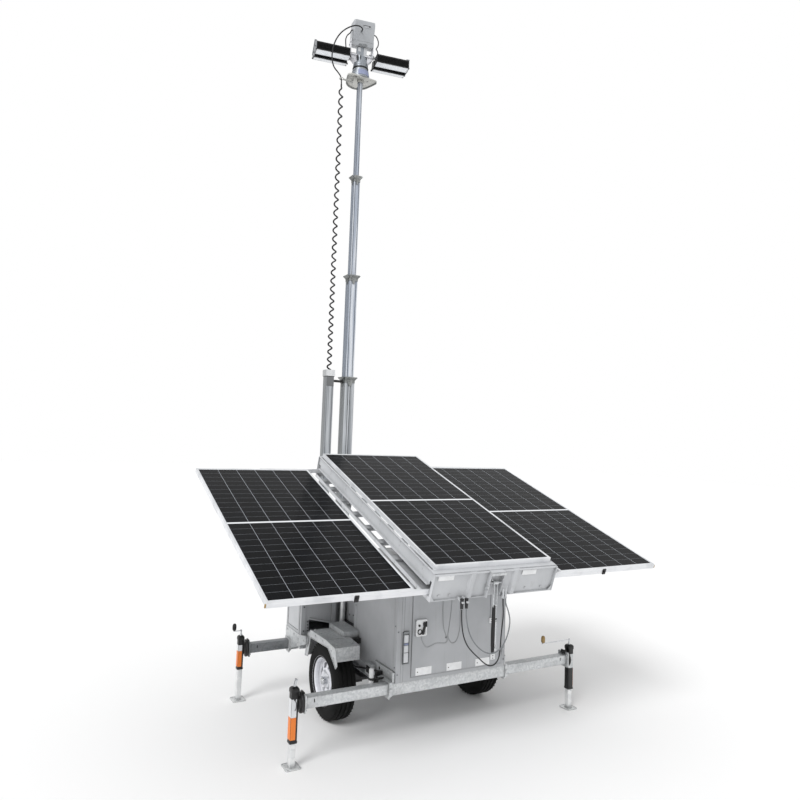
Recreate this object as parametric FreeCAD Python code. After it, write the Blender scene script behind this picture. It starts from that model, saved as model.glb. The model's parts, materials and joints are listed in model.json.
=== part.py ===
import FreeCAD, Part
import math
import os

V = FreeCAD.Vector

# Mobile solar light tower on a single-axle trailer, in millimetres.
# X is across the trailer, +Y towards the hitch, +Z up, the ground is Z = 0.
# Lengthwise places are stations, counted forward from the low edge of the solar array.
# The part's own origin lies on the ground, halfway between the rearmost and foremost points.

# Solar panels: three equal ones, each a framed laminate
PANEL_W = 1038.0
PANEL_L = 2094.0
FRAME_H = 35.0
FRAME_LIP = 11.0
FRAME_WALL = 3.0
LAMINATE_T = 5.0
LAMINATE_DOWN = 2.0

# Array: tilt, height of its low edge, depth of each panel below the middle one
TILT = 19.0
ARRAY_Z = 1419.0
LEFT_DROP = 160.0
RIGHT_DROP = 118.0
SIDE_SHIFT = -12.0
STAGE_TRAVEL = 585.0

# Housing that carries the middle panel and swallows the side panels
SHEET = 4.0
HOUSING_HALF_W = 545.0
HOUSING_DEPTH = 240.0
END_ROOM = 29.0
SHORT_WEB_TO = 112.0
LOWER_RAIL_H = 30.0
CROSS_W = 60.0
CROSS_T = 26.0
# Cross members, as shares of the panel's length
CROSS_SHARES = (0.363, 0.482, 0.602, 0.85, 0.936)
FLOOR_TO = 470.0
FLANGE_IN = 527.0
TALL_WEB_TO = 138.0
RIB_W = 62.0
RIB_T = 16.0
RIB_X = (-215.0, 165.0)
TROUGH_X = -18.0
TROUGH_W = 120.0
TROUGH_OUT = 36.0
STRUT_DOWN = 130.0
STRUT_PIN_R = 6.0
STRUT_LINK_L = 170.0
STRUT_BAR_L = 320.0

# Drawer slides along both ends of each side panel
SLIDE_GAP = 0.3
SLIDE_H = 38.0
MEMBER_T = 9.7
RUNNER_T = 11.0
RUNNER_L = 1050.0
MEMBER_TAIL = 46.0

# Tilt hinge of the array, on the cabinet's roof
PIVOT_Y = 560.0
PIVOT_Z = 1330.0
PIVOT_X = 330.0
PIVOT_PIN_R = 12.0
EAR_T = 12.0
EAR_R = 20.0
PIN_FIT = 0.05

# Linear actuators that tilt the array
RAM_X = 462.0
RAM_FOOT = (1530.0, 560.0)
RAM_HEAD = (1540.0, 1648.0)
RAM_TUBE_R = 24.0
RAM_ROD_R = 14.0
RAM_EYE_R = 26.0
RAM_PIN_R = 8.0
RAM_TUBE_L = 700.0
EYE_DRIFT = 9.0

# Chassis: two rails, two crossbeam receivers and an A-frame drawbar
RAIL_OUT = 506.0
RAIL_W = 50.0
RAIL_TOP = 470.0
RAIL_H = 90.0
REAR_BEAM_Y = 560.0
FRONT_BEAM_Y = 1832.0
OUTRIGGER = 76.0
RECEIVER_WALL = 6.0
SLEEVE_GAP = 0.5
REAR_BEAM_X = 538.0
FRONT_BEAM_X = 840.0
COLLAR_W = 22.0
COLLAR_PROUD = 7.0
HITCH_TIP_Y = 3420.0
COUPLER_L = 260.0
COUPLER_W = 90.0
BALL_R = 25.0
DRAWBAR_H = 80.0
DRAWBAR_W = 50.0
DRAWBAR_FOOT_X = 470.0
TIP_HALF_GAP = 2.0
TIP_BLOCK_L = 160.0
TIP_LAP = 30.0
MAST_PLATE_T = 10.0
MAST_PLATE_HALF = 110.0
MAST_PLATE_LEFT = 330.0
MAST_PLATE_RIGHT = 200.0
MAST_BEAM_W = 60.0
COUPLER_DOWN = 30.0
COUPLER_H = 62.0
NOSE_R = 46.0
NOSE_H = 70.0
BALL_UP = 16.0
# Cross members between the rails, one over the axle: (station, width)
FRAME_CROSS = ((900.0, 50.0), (1184.0, 50.0), (1520.0, 50.0))
FRAME_CROSS_UP = 20.0
RAIL_WALL = 6.0
RAM_PLATE_T = 8.0
RAM_PLATE_HALF = 24.0
RAM_PLATE_UP = 22.0
MEMBER_BRACKET = 40.0

# Outriggers and their jacks: (name, side, receiver's station, how far out the crank's knob stands)
CORNERS = (("rear_left", -1, REAR_BEAM_Y, 0.0), ("rear_right", 1, REAR_BEAM_Y, -300.0),
           ("front_left", -1, FRONT_BEAM_Y, 60.0), ("front_right", 1, FRONT_BEAM_Y, 60.0))
JACK_X = 1273.0
BEAM_IN_X = 358.0
JACK_TUBE = 52.0
JACK_LEG = 42.0
JACK_BOTTOM = 165.0
JACK_TOP = 505.0
JACK_CAP_H = 28.0
LEG_TOP = 300.0
FOOT_W = 112.0
FOOT_T = 6.0
BRACKET_T = 10.0
END_PLATE_HALF = 58.0
END_PLATE_UP = 52.0
OUTRIGGER_WALL = 4.0
SWIVEL_R = 40.0
SWIVEL_LIP = 6.0
SWIVEL_T = 34.0
SWIVEL_HUB_R = 48.0
CRANK_UP = 40.0
CRANK_W = 14.0
CRANK_T = 8.0
KNOB_R = 15.0
KNOB_H = 55.0

# Wheels and axle
WHEEL_R = 300.0
WHEEL_W = 186.0
WHEEL_OUT_X = 795.0
WHEEL_Y = 1184.0
WHEEL_CLEAR = 3.0
RIM_R = 178.0
SHOULDER_R = 36.0
BEAD_IN = 12.0
HUB_R = 55.0
HUB_L = 100.0
WINDOW_AT = 118.0
WINDOW_R = 24.0
AXLE = 60.0
SPRING_W = 45.0
SPRING_HALF = 330.0

# Angular fenders over the wheels: (station, height) of the bent sheet's and the skirt's corners
FENDER_LINE = ((905.0, 533.0), (905.0, 640.0), (1085.0, 654.0), (1400.0, 648.0), (1455.0, 604.0),
               (1497.0, 417.0))
SKIRT_LINE = ((1497.0, 417.0), (1455.0, 604.0), (1400.0, 648.0), (1085.0, 654.0), (905.0, 640.0),
              (862.0, 520.0), (884.0, 494.0), (1040.0, 608.0), (1394.0, 590.0), (1440.0, 425.0))
FENDER_IN = 600.0
FENDER_OUT = 812.0
# Ledge along the cabinet: distance from the middle, from station, to station, low, high
LEDGE = (642.0, 1110.0, 1405.0, 644.0, 692.0)

# Cabinet, bay and front box
CABINET_HALF_W = 506.0
CABINET_REAR_Y = 500.0
CABINET_FRONT_Y = 1211.0
CABINET_TOP = 1200.0
DOOR_LEFT = -376.0
DOOR_RIGHT = 470.0
DOOR_LOW = 500.0
DOOR_TOP = 1150.0
DOOR_T = 8.0
DOOR_LAP = 16.0
DOOR_GAP = 5.0
PAN_IN = 16.0
HINGE_R = 8.0
HINGE_TAB = 4.0
HINGE_H = 30.0
HINGE_FROM_END = 90.0
HINGE_LEAF = 30.0
LATCH_IN = 70.0
LATCH_HALF_W = 47.0
LATCH_T = 12.0
LATCH_LOW = 798.0
LATCH_TOP = 917.0
BATTERY_HALF_W = 380.0
BATTERY_BEHIND = 90.0
BATTERY_AHEAD = 60.0
BATTERY_TOP = 860.0
BOX_RIM = 40.0
BAY_HALF_W = 424.0
FRONT_BOX_HALF_W = 832.0
FRONT_BOX_REAR_Y = 1560.0
FRONT_BOX_FRONT_Y = 1895.0
FRONT_BOX_LOW = 565.0
RAM_SLOT_IN = 430.0
RAM_SLOT_OUT = 515.0
RAM_SLOT_TO = 1650.0
# Opening in each wing of the front box: (distance from the middle, height) of its corners
WING_OPENING = ((560.0, 575.0), (560.0, 642.0), (765.0, 692.0), (765.0, 592.0))
WING_RAIL_T = 14.0
# Side member under the front box: (station, height) of its corners
MEMBER_LINE = ((1899.0, 394.0), (1794.0, 394.0), (1428.0, 530.0), (1428.0, 588.0), (1560.0, 565.0),
               (1899.0, 565.0))
MEMBER_W = 24.0

# Telescopic mast of four square sections, and the post that keeps the cord
MAST_ALONG = 0.760234
MAST_Y = HITCH_TIP_Y * MAST_ALONG
MAST_FOOT_Z = RAIL_TOP
SECTION_SIZES = (115.0, 98.0, 72.0, 50.0)
SECTION_TOPS = (2904.0, 4009.0, 5110.0, 6205.0)
SECTION_LAP = 300.0
SECTION_WALL = 4.0
SECTION_REVEAL = 10.0
PAD_H = 60.0
MAST_FOOT_HALF = 100.0
MAST_FOOT_T = 12.0
LINK_H = 25.0
LINK_HALF = 12.0
COLLAR_H = 62.0
FLARE_H = 30.0
FLARE_OUT = 20.0
POST_X = -222.0
POST_W = 88.0
POST_TOP = 2966.0
POST_WALL = 3.0
POST_CAP_H = 80.0
POST_CAP_PROUD = 7.0

# Head: pan, turning drum, tilting box and two pairs of flood lamps
# Pan: a sheet with a straight rear edge, round corners, tapered sides, a round nose and a lip
PAN_HALF_W = 176.0
PAN_CORNER = 135.0
PAN_REAR = 100.0
PAN_SIDE = 52.0
PAN_SHOULDER = (129.0, 93.0)
PAN_NOSE = 178.0
PAN_SHEET = 5.0
PAN_LIP = 11.0
DRUM_FOOT_R = 112.0
DRUM_NECK_R = 88.0
DRUM_CONE_H = 110.0
DRUM_R = 84.0
TURRET_TOP = 6361.0
FORK_Z = 6465.0
FORK_NECK_R = 64.0
GUSSET_HALF_D = 40.0
YOKE_BASE_T = 8.0
YOKE_D = 104.0
NECK_W = 100.0
NECK_D = 66.0
NECK_GAP = 14.0
HEAD_TURN = -11.0
BOX_W = 246.0
BOX_D = 120.0
BOX_H = 265.0
BOX_LEAN = 14.0
BOX_LOW = 6590.0
HEAD_TILT_Z = 6500.0
# Lamps on the cross arm: (offset along Y, lean)
LAMP_ROWS = ((-83.0, 0.0), (45.0, 15.0))
LAMP_L = 370.0
LAMP_D = 90.0
LAMP_H = 102.0
LAMP_IN_X = 152.0
LAMP_Z = 6436.0
# End plate across both rows of lamps: (distance ahead of the arm, height)
LAMP_END = ((-128, 6387), (-128, 6489), (-32, 6548), (84, 6448), (90, 6402), (20, 6378))
LAMP_END_T = 6.0
LAMP_BRACKET_W = 60.0
LAMP_BRACKET_D = 120.0
ARM_R = 14.0
RING_ARM_DOWN = 44.0
RING_ARM_IN = 44.0
RING_ARM_W = 26.0
RING_ARM_T = 8.0
RING_R = 22.0
RING_T = 5.0
# Ear below the pan: distance from the middle, behind the mast and below the pan, radius, thickness
EAR_LUG = (-86.0, 72.0, 111.0, 28.0, 6.0)

# Cords: the curly supply cord and the loops of panel lead below the housing
CURL_D = 56.0
CURL_LOW = 2500.0
CURL_TOP = 6105.0
LEAD_R = 4.5
HEAD_LEAD_R = 7.0
PLUG_R = 9.0
PLUG_L = 70.0
# The lamps' lead leaves the box by a gland at (x, height above the box's bottom), then runs on
GLAND = (-28.0, 146.0)
GLAND_L = 14.0
GLAND_RUN = 50.0
# Route of the lamps' lead: (x, distance ahead of the mast, height)
HEAD_LEAD = ((-80, -168, 6702), (-125, -188, 6698), (-187, -190, 6680), (-258, -176, 6635),
             (-325, -172, 6568), (-374, -152, 6484), (-394, -118, 6392), (-378, -72, 6304),
             (-338, -36, 6246), (-276, -10, 6222), (-222, 0, 6180), (-222, 0, 6105))
# Routes of the two leads below the housing: (x, station, height)
DARK_LEAD = ((-303, -22, 1115), (-303, -22, 1070), (-300, -26, 1003), (-289, -32, 930), (-262, -42, 868),
             (-220, -52, 822), (-172, -58, 780), (-128, -60, 742), (-82, -62, 716), (-34, -62, 722),
             (2, -60, 762), (14, -56, 828), (19, -54, 905), (25, -56, 980), (36, -52, 1040),
             (48, -36, 1088), (54, -24, 1125), (54, -24, 1160))
GREY_LEAD = ((-264, -22, 1115), (-264, -22, 1070), (-256, -27, 1005), (-236, -35, 933), (-192, -45, 866),
             (-132, -56, 816), (-64, -66, 798), (0, -71, 822), (46, -69, 872), (78, -64, 935),
             (95, -58, 1005), (92, -46, 1060), (83, -33, 1100), (77, -24, 1128), (77, -24, 1160))


def box(x0, x1, y0, y1, z0, z1):
    return Part.makeBox(x1 - x0, y1 - y0, z1 - z0, V(x0, y0, z0))


def rod(p, d, r, length):
    return Part.makeCylinder(r, length, V(*p), V(*d))


def prism_x(points, x0, x1):
    """Solid of a (station, height) outline between two X places."""
    wire = Part.makePolygon([V(x0, y, z) for y, z in points] + [V(x0, *points[0])])
    return Part.Face(wire).extrude(V(x1 - x0, 0, 0))


def prism_z(points, z0, z1):
    """Solid of an (x, station) outline between two heights."""
    wire = Part.makePolygon([V(x, y, z0) for x, y in points] + [V(points[0][0], points[0][1], z0)])
    return Part.Face(wire).extrude(V(0, 0, z1 - z0))


def fuse(shapes):
    first, rest = shapes[0], shapes[1:]
    return first.multiFuse(rest).removeSplitter() if rest else first


def mirrored(shape):
    return shape.mirror(V(0, 0, 0), V(1, 0, 0))


def both_sides(shape):
    return Part.makeCompound([shape, mirrored(shape)])


def square_tube(size, wall, x, y, z0, z1):
    h = size / 2
    i = h - wall
    outer = box(x - h, x + h, y - h, y + h, z0, z1)
    return outer.cut(box(x - i, x + i, y - i, y + i, z0 - 1, z1 + 1))


# Everything on the array is drawn level, its top face at Z = 0 and its low edge at station 0
def tilted(shape):
    s = shape.copy()
    s.rotate(V(0, 0, 0), V(1, 0, 0), TILT)
    s.translate(V(0, 0, ARRAY_Z))
    return s


def level_point(y, z):
    """Array's own (station, height) of a point given in the trailer's frame."""
    a = math.radians(TILT)
    dz = z - ARRAY_Z
    return y * math.cos(a) + dz * math.sin(a), dz * math.cos(a) - y * math.sin(a)


WALL_REAR = SIDE_SHIFT - END_ROOM
WALL_FRONT = SIDE_SHIFT + PANEL_L + END_ROOM
REAR_TIP_Y = (WALL_REAR - SHEET - TROUGH_OUT) * math.cos(math.radians(TILT)) \
    + (FRAME_H + SHEET) * math.sin(math.radians(TILT))
ORIGIN_Y = (REAR_TIP_Y + HITCH_TIP_Y) / 2
STRUT_AT = (WALL_REAR - SHEET - TROUGH_OUT * 0.6, -STRUT_DOWN)
NODES = {}


def add(name, shape):
    s = shape.copy()
    s.translate(V(0, -ORIGIN_Y, 0))
    NODES[name] = s


def panel_frame(x, y, top):
    """Aluminium frame of a panel: a channel on all four sides, open inside its lip."""
    h = PANEL_W / 2
    outer = box(x - h, x + h, y, y + PANEL_L, top - FRAME_H, top)
    lip = FRAME_LIP
    hole = box(x - h + lip, x + h - lip, y + lip, y + PANEL_L - lip, top - FRAME_H - 1, top + 1)
    w = FRAME_WALL
    seat = box(x - h + w, x + h - w, y + w, y + PANEL_L - w,
               top - LAMINATE_DOWN - LAMINATE_T, top - LAMINATE_DOWN)
    return outer.cut(hole).cut(seat)


def laminate(x, y, top):
    h = PANEL_W / 2 - FRAME_WALL
    return box(x - h, x + h, y + FRAME_WALL, y + PANEL_L - FRAME_WALL,
               top - LAMINATE_DOWN - LAMINATE_T, top - LAMINATE_DOWN)


def make_panels():
    add("centre_panel_frame", tilted(panel_frame(0, 0, 0)))
    add("centre_panel_laminate", tilted(laminate(0, 0, 0)))
    # Side panels: (name, side, drop below the middle panel)
    for name, side, drop in (("left", -1, LEFT_DROP), ("right", 1, RIGHT_DROP)):
        x = side * 2 * STAGE_TRAVEL
        outer_x = x + side * PANEL_W / 2
        inner_x = x - side * (PANEL_W / 2 + MEMBER_TAIL)
        lo, hi = min(outer_x, inner_x), max(outer_x, inner_x)
        low = -drop - SLIDE_H
        members = [box(lo, hi, y, y + MEMBER_T, low, -drop)
                   for y in (SIDE_SHIFT - MEMBER_T, SIDE_SHIFT + PANEL_L)]
        frame = panel_frame(x, SIDE_SHIFT, -drop)
        add(name + "_panel_frame", tilted(fuse([frame] + members)))
        add(name + "_panel_laminate", tilted(laminate(x, SIDE_SHIFT, -drop)))
        mid = side * STAGE_TRAVEL
        runner_y = SIDE_SHIFT - MEMBER_T - SLIDE_GAP - RUNNER_T
        far_y = SIDE_SHIFT + PANEL_L + MEMBER_T + SLIDE_GAP
        runners = [box(mid - RUNNER_L / 2, mid + RUNNER_L / 2, y, y + RUNNER_T, low, -drop)
                   for y in (runner_y, far_y)]
        add(name + "_runners", tilted(Part.makeCompound(runners)))


def make_housing():
    w = HOUSING_HALF_W
    top = -FRAME_H
    low = -HOUSING_DEPTH
    parts = []
    # End walls with a lip that the panel's end rests on
    parts.append(box(-w, w, WALL_REAR - SHEET, WALL_REAR, low, top - SHEET))
    parts.append(box(-w, w, WALL_REAR - SHEET, FRAME_LIP, top - SHEET, top))
    parts.append(box(-w, w, WALL_FRONT, WALL_FRONT + SHEET, low, top - SHEET))
    parts.append(box(-w, w, PANEL_L - FRAME_LIP, WALL_FRONT + SHEET, top - SHEET, top))
    # Fixed slide channels on the end walls, one pair at each panel's height
    room = END_ROOM - MEMBER_T - RUNNER_T - 2 * SLIDE_GAP
    for drop in (LEFT_DROP, RIGHT_DROP):
        parts.append(box(-w + SHEET, w - SHEET, WALL_REAR, WALL_REAR + room, -drop - SLIDE_H, -drop))
        parts.append(box(-w + SHEET, w - SHEET, WALL_FRONT - room, WALL_FRONT, -drop - SLIDE_H, -drop))
    # Side channels above the slots, and the lower rails below them
    for side, deep in ((-1, TALL_WEB_TO), (1, SHORT_WEB_TO)):
        y0, y1 = WALL_REAR, WALL_FRONT
        t2 = top - SHEET
        # Strips of one section: (inner edge, outer edge, low face, high face)
        for inner, outer, z0, z1 in ((FLANGE_IN, w, t2, top),
                                     (FLANGE_IN, FLANGE_IN + SHEET, -SHORT_WEB_TO, t2),
                                     (w - SHEET, w, low, low + LOWER_RAIL_H),
                                     (w - 50, w, low, low + SHEET)):
            parts.append(box(min(side * inner, side * outer), max(side * inner, side * outer), y0, y1, z0, z1))
        # The channel's foot, which stops short of the side panels' end rails where it lies low
        y2, y3 = (0.0, PANEL_L - 30) if deep > SHORT_WEB_TO else (y0, y1)
        for inner, outer, z0, z1 in ((FLANGE_IN, FLANGE_IN + SHEET, -deep, -SHORT_WEB_TO + 2),
                                     (FLANGE_IN, w + 10, -deep - SHEET, -deep)):
            parts.append(box(min(side * inner, side * outer), max(side * inner, side * outer), y2, y3, z0, z1))
    # Hat-shaped cross members and a floor at the low end, under the side panels
    hinge_y = level_point(PIVOT_Y, PIVOT_Z)[0]
    ram_y = level_point(*RAM_HEAD)[0]
    for y in [share * PANEL_L for share in CROSS_SHARES] + [hinge_y, ram_y]:
        parts.append(box(-w + SHEET, w - SHEET, y - CROSS_W / 2, y + CROSS_W / 2, low, low + CROSS_T))
    parts.append(box(-w + SHEET, w - SHEET, WALL_REAR, FLOOR_TO, low, low + SHEET))
    # Upright ribs pressed out of the rear wall
    for x in RIB_X:
        rib = prism_z(((x - RIB_W / 2, WALL_REAR - SHEET), (x - RIB_W / 4, WALL_REAR - SHEET - RIB_T),
                       (x + RIB_W / 4, WALL_REAR - SHEET - RIB_T), (x + RIB_W / 2, WALL_REAR - SHEET)),
                      low, top - SHEET)
        parts.append(rib)
    # Trough on the rear wall that the latch strut hangs in
    t0, t1 = TROUGH_X - TROUGH_W / 2, TROUGH_X + TROUGH_W / 2
    yo = WALL_REAR - SHEET - TROUGH_OUT
    trough = box(t0, t1, yo, WALL_REAR - SHEET, low, top - SHEET)
    trough = trough.cut(box(t0 + SHEET, t1 - SHEET, yo - 1, WALL_REAR - SHEET, low - 1, top - 2 * SHEET))
    parts.append(trough)
    sy, sz = STRUT_AT
    parts.append(rod((t0, sy, sz), (1, 0, 0), STRUT_PIN_R, TROUGH_W))
    # End flanges of the rear wall
    for x in (-w, w - SHEET):
        parts.append(box(x, x + SHEET, WALL_REAR - SHEET - 20, WALL_REAR - SHEET, low, top - SHEET))
    # Hinge lugs under the housing and lugs for the actuators' eyes
    py, pz = level_point(PIVOT_Y, PIVOT_Z)
    for side in (-1, 1):
        x = side * PIVOT_X
        parts.append(box(x - 25, x + 25, py - 90, py + 90, low, low + CROSS_T))
        lug = box(x - EAR_T / 2, x + EAR_T / 2, py - EAR_R, py + EAR_R, pz, low)
        parts.append(lug)
        parts.append(rod((x - EAR_T / 2, py, pz), (1, 0, 0), EAR_R, EAR_T))
        parts.append(rod((x - EAR_T / 2 - 24, py, pz), (1, 0, 0), PIVOT_PIN_R, EAR_T + 48))
    ry, rz = level_point(*RAM_HEAD)
    for side in (-1, 1):
        x = side * RAM_X
        for ear in (-1, 1):
            ex = x + ear * (RAM_EYE_R + 4)
            parts.append(box(ex - 4, ex + 4, ry - 26, ry + 26, rz - 16, low + SHEET))
        parts.append(rod((x - RAM_EYE_R - 8, ry, rz), (1, 0, 0), RAM_PIN_R, 2 * RAM_EYE_R + 16))
    # Plug sockets under the rear wall and clips for the leads' other ends
    for route in (DARK_LEAD, GREY_LEAD):
        for (x, y, z), grip in ((route[0], PLUG_R), (route[-1], LEAD_R + 2)):
            ly = level_point(y, z)[0]
            socket = rod((x, y, z), (0, 0, 1), grip, PLUG_L)
            clip = box(x - grip, x + grip, ly - 4, WALL_REAR, low + SHEET, low + SHEET + 10)
            parts.append(tilted(clip).fuse(socket))
    level_parts, plugs = parts[:-4], parts[-4:]
    housing = tilted(fuse(level_parts))
    add("array_housing", fuse([housing] + plugs))


def make_pivots():
    """Ears on the cabinet's roof that hold the array's hinge pins."""
    ears = []
    for side in (-1, 1):
        for off in (-1, 1):
            x = side * PIVOT_X + off * (EAR_T + 1)
            x0 = x - EAR_T / 2
            plate = box(x0, x0 + EAR_T, PIVOT_Y - EAR_R, PIVOT_Y + EAR_R, CABINET_TOP, PIVOT_Z)
            plate = plate.fuse(rod((x0, PIVOT_Y, PIVOT_Z), (1, 0, 0), EAR_R, EAR_T))
            ears.append(plate.cut(rod((x0 - 1, PIVOT_Y, PIVOT_Z), (1, 0, 0), PIVOT_PIN_R + PIN_FIT, EAR_T + 2)))
        x = side * PIVOT_X
        ears.append(box(x - 50, x + 50, PIVOT_Y - 45, PIVOT_Y + 45, CABINET_TOP, CABINET_TOP + 6))
    add("tilt_brackets", fuse(ears))


def make_rams():
    fy, fz = RAM_FOOT
    hy, hz = RAM_HEAD
    length = math.hypot(hy - fy, hz - fz)
    ux, uz = (hy - fy) / length, (hz - fz) / length
    tubes, rods = [], []
    for side in (-1, 1):
        x = side * RAM_X
        eye = rod((x - RAM_EYE_R + 1, fy, fz), (1, 0, 0), RAM_EYE_R, 2 * RAM_EYE_R - 2)
        eye = eye.cut(rod((x - 30, fy, fz), (1, 0, 0), RAM_PIN_R + PIN_FIT, 60))
        start = 16.0
        tube = rod((x, fy + ux * start, fz + uz * start), (0, ux, uz), RAM_TUBE_R, RAM_TUBE_L)
        tube = tube.cut(rod((x - 30, fy, fz), (1, 0, 0), RAM_PIN_R + PIN_FIT, 60))
        bore = rod((x, fy + ux * 60, fz + uz * 60), (0, ux, uz), RAM_ROD_R + SLEEVE_GAP, RAM_TUBE_L)
        tubes.append(eye.fuse(tube).cut(bore))
        r0 = 420.0
        shaft = rod((x, fy + ux * r0, fz + uz * r0), (0, ux, uz), RAM_ROD_R, length - r0 - RAM_EYE_R / 2)
        head = rod((x - RAM_EYE_R + 2, hy, hz), (1, 0, 0), RAM_EYE_R, 2 * RAM_EYE_R - 4)
        piece = shaft.fuse(head)
        rods.append(piece.cut(rod((x - 30, hy, hz), (1, 0, 0), RAM_PIN_R + EYE_DRIFT, 60)))
    add("tilt_ram_tubes", Part.makeCompound(tubes))
    add("tilt_ram_rods", Part.makeCompound(rods))


def receiver(y, half_x):
    """Square tube across the trailer that two outriggers slide in, with end collars."""
    o = OUTRIGGER / 2 + RECEIVER_WALL + SLEEVE_GAP
    i = OUTRIGGER / 2 + SLEEVE_GAP
    zc = RAIL_TOP - RAIL_H / 2
    body = box(-half_x, half_x, y - o, y + o, zc - o, zc + o)
    for side in (-1, 1):
        x0 = side * half_x - COLLAR_W / 2
        c = o + COLLAR_PROUD
        body = body.fuse(box(x0, x0 + COLLAR_W, y - c, y + c, zc - c, zc + c))
    return body.cut(box(-half_x - 50, half_x + 50, y - i, y + i, zc - i, zc + i))


def make_chassis():
    zt, zb = RAIL_TOP, RAIL_TOP - RAIL_H
    parts = [receiver(REAR_BEAM_Y, REAR_BEAM_X), receiver(FRONT_BEAM_Y, FRONT_BEAM_X)]
    o = OUTRIGGER / 2 + RECEIVER_WALL + SLEEVE_GAP
    y0, y1 = REAR_BEAM_Y + o - 1, FRONT_BEAM_Y - o + 1
    for side in (-1, 1):
        x_out, x_in = side * RAIL_OUT, side * (RAIL_OUT - RAIL_W)
        lo, hi = min(x_out, x_in), max(x_out, x_in)
        rail = box(lo, hi, y0, y1, zb, zt)
        c0, c1 = (lo - 1, hi - RAIL_WALL) if side < 0 else (lo + RAIL_WALL, hi + 1)
        rw = RAIL_WALL
        parts.append(rail.cut(box(c0, c1, y0 + rw, y1 - rw, zb + rw, zt - rw)))
        # Side members under the front box, carried by the front crossbeam and an outrigger bracket
        m_out, m_in = side * FRONT_BEAM_X, side * (FRONT_BEAM_X - MEMBER_W)
        member = prism_x(MEMBER_LINE, min(m_out, m_in), max(m_out, m_in))
        way = OUTRIGGER / 2 + SLIDE_GAP
        member = member.cut(box(-JACK_X, JACK_X, FRONT_BEAM_Y - way, FRONT_BEAM_Y + way,
                                RAIL_TOP - RAIL_H / 2 - way, RAIL_TOP - RAIL_H / 2 + way))
        parts.append(member)
        b0, b1 = side * (RAIL_OUT - 1), side * (FRONT_BEAM_X - 1)
        parts.append(box(min(b0, b1), max(b0, b1), FRONT_BOX_REAR_Y, FRONT_BOX_REAR_Y + MEMBER_BRACKET,
                         zt - MEMBER_BRACKET / 2, zt + MEMBER_BRACKET / 2))
        parts.append(box(min(b0, b1), max(b0, b1), FRONT_BEAM_Y - 30, FRONT_BEAM_Y + 30, zt, FRONT_BOX_LOW))
    inner = RAIL_OUT - RAIL_W
    for y, w in FRAME_CROSS:
        parts.append(box(-inner, inner, y - w / 2, y + w / 2, zb + FRAME_CROSS_UP, zt))
    # Feet of the actuators
    fy, fz = RAM_FOOT
    for side in (-1, 1):
        x = side * RAM_X
        for ear in (-1, 1):
            ex = x + ear * (RAM_EYE_R + 1 + RAM_PLATE_T / 2)
            parts.append(box(ex - RAM_PLATE_T / 2, ex + RAM_PLATE_T / 2, fy - RAM_PLATE_HALF,
                             fy + RAM_PLATE_HALF, zt - 2, fz + RAM_PLATE_UP))
        pin_half = RAM_EYE_R + 1 + RAM_PLATE_T
        parts.append(rod((x - pin_half, fy, fz), (1, 0, 0), RAM_PIN_R, 2 * pin_half))
    add("chassis_frame", fuse(parts))
    # A-frame from the front receiver to the coupler, with a beam and a plate under the mast
    tip = HITCH_TIP_Y - COUPLER_L
    start_y = FRONT_BEAM_Y + o
    foot_in = DRAWBAR_FOOT_X - DRAWBAR_W
    bars = []
    for side in (-1, 1):
        pts = [(side * DRAWBAR_FOOT_X, start_y), (side * foot_in, start_y),
               (side * TIP_HALF_GAP, tip), (side * (TIP_HALF_GAP + DRAWBAR_W), tip)]
        bars.append(prism_z(pts, zt - DRAWBAR_H, zt))
    tip_half = TIP_HALF_GAP + DRAWBAR_W
    bars.append(box(-tip_half, tip_half, tip - TIP_BLOCK_L, tip + TIP_LAP, zt - DRAWBAR_H, zt))
    share = (MAST_Y - start_y) / (tip - start_y)
    beam_half = foot_in + (TIP_HALF_GAP - foot_in) * share + DRAWBAR_W / 2
    half = MAST_BEAM_W / 2
    bars.append(box(-beam_half, beam_half, MAST_Y - half, MAST_Y + half, zt - DRAWBAR_H, zt))
    bars.append(box(-MAST_PLATE_LEFT, MAST_PLATE_RIGHT, MAST_Y - MAST_PLATE_HALF,
                    MAST_Y + MAST_PLATE_HALF, zt, zt + MAST_PLATE_T))
    add("drawbar", fuse(bars))
    top = zt - COUPLER_DOWN + COUPLER_H / 2
    ball_y, ball_z = HITCH_TIP_Y - NOSE_R, zt - DRAWBAR_H + BALL_UP + COUPLER_DOWN - 20
    body = box(-COUPLER_W / 2, COUPLER_W / 2, tip + TIP_LAP, HITCH_TIP_Y - NOSE_R - 14, top - COUPLER_H, top)
    nose = Part.makeCylinder(NOSE_R, NOSE_H, V(0, ball_y, zt - COUPLER_DOWN - 40))
    hollow = Part.makeSphere(BALL_R, V(0, ball_y, ball_z))
    throat = Part.makeCylinder(BALL_R, 40, V(0, ball_y, ball_z - 40))
    add("coupler", body.fuse(nose).cut(hollow).cut(throat))


def tyre_solid(x, z):
    """Tyre turned about its axle from one section: flat tread, round shoulders, bead on the rim."""
    h, c = WHEEL_W / 2, SHOULDER_R
    r, bead = WHEEL_R, BEAD_IN

    def at(dx, dr):
        return V(x + dx, WHEEL_Y, z + dr)
    k = c * (1 - math.sqrt(0.5))
    edges = [Part.LineSegment(at(-h + c, r), at(h - c, r)),
             Part.Arc(at(h - c, r), at(h - k, r - k), at(h, r - c)),
             Part.LineSegment(at(h, r - c), at(h - bead, RIM_R)),
             Part.LineSegment(at(h - bead, RIM_R), at(-h + bead, RIM_R)),
             Part.LineSegment(at(-h + bead, RIM_R), at(-h, r - c)),
             Part.Arc(at(-h, r - c), at(-h + k, r - k), at(-h + c, r))]
    wire = Part.Wire([e.toShape() for e in edges])
    return Part.Face(wire).revolve(V(x, WHEEL_Y, z), V(1, 0, 0), 360)


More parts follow.
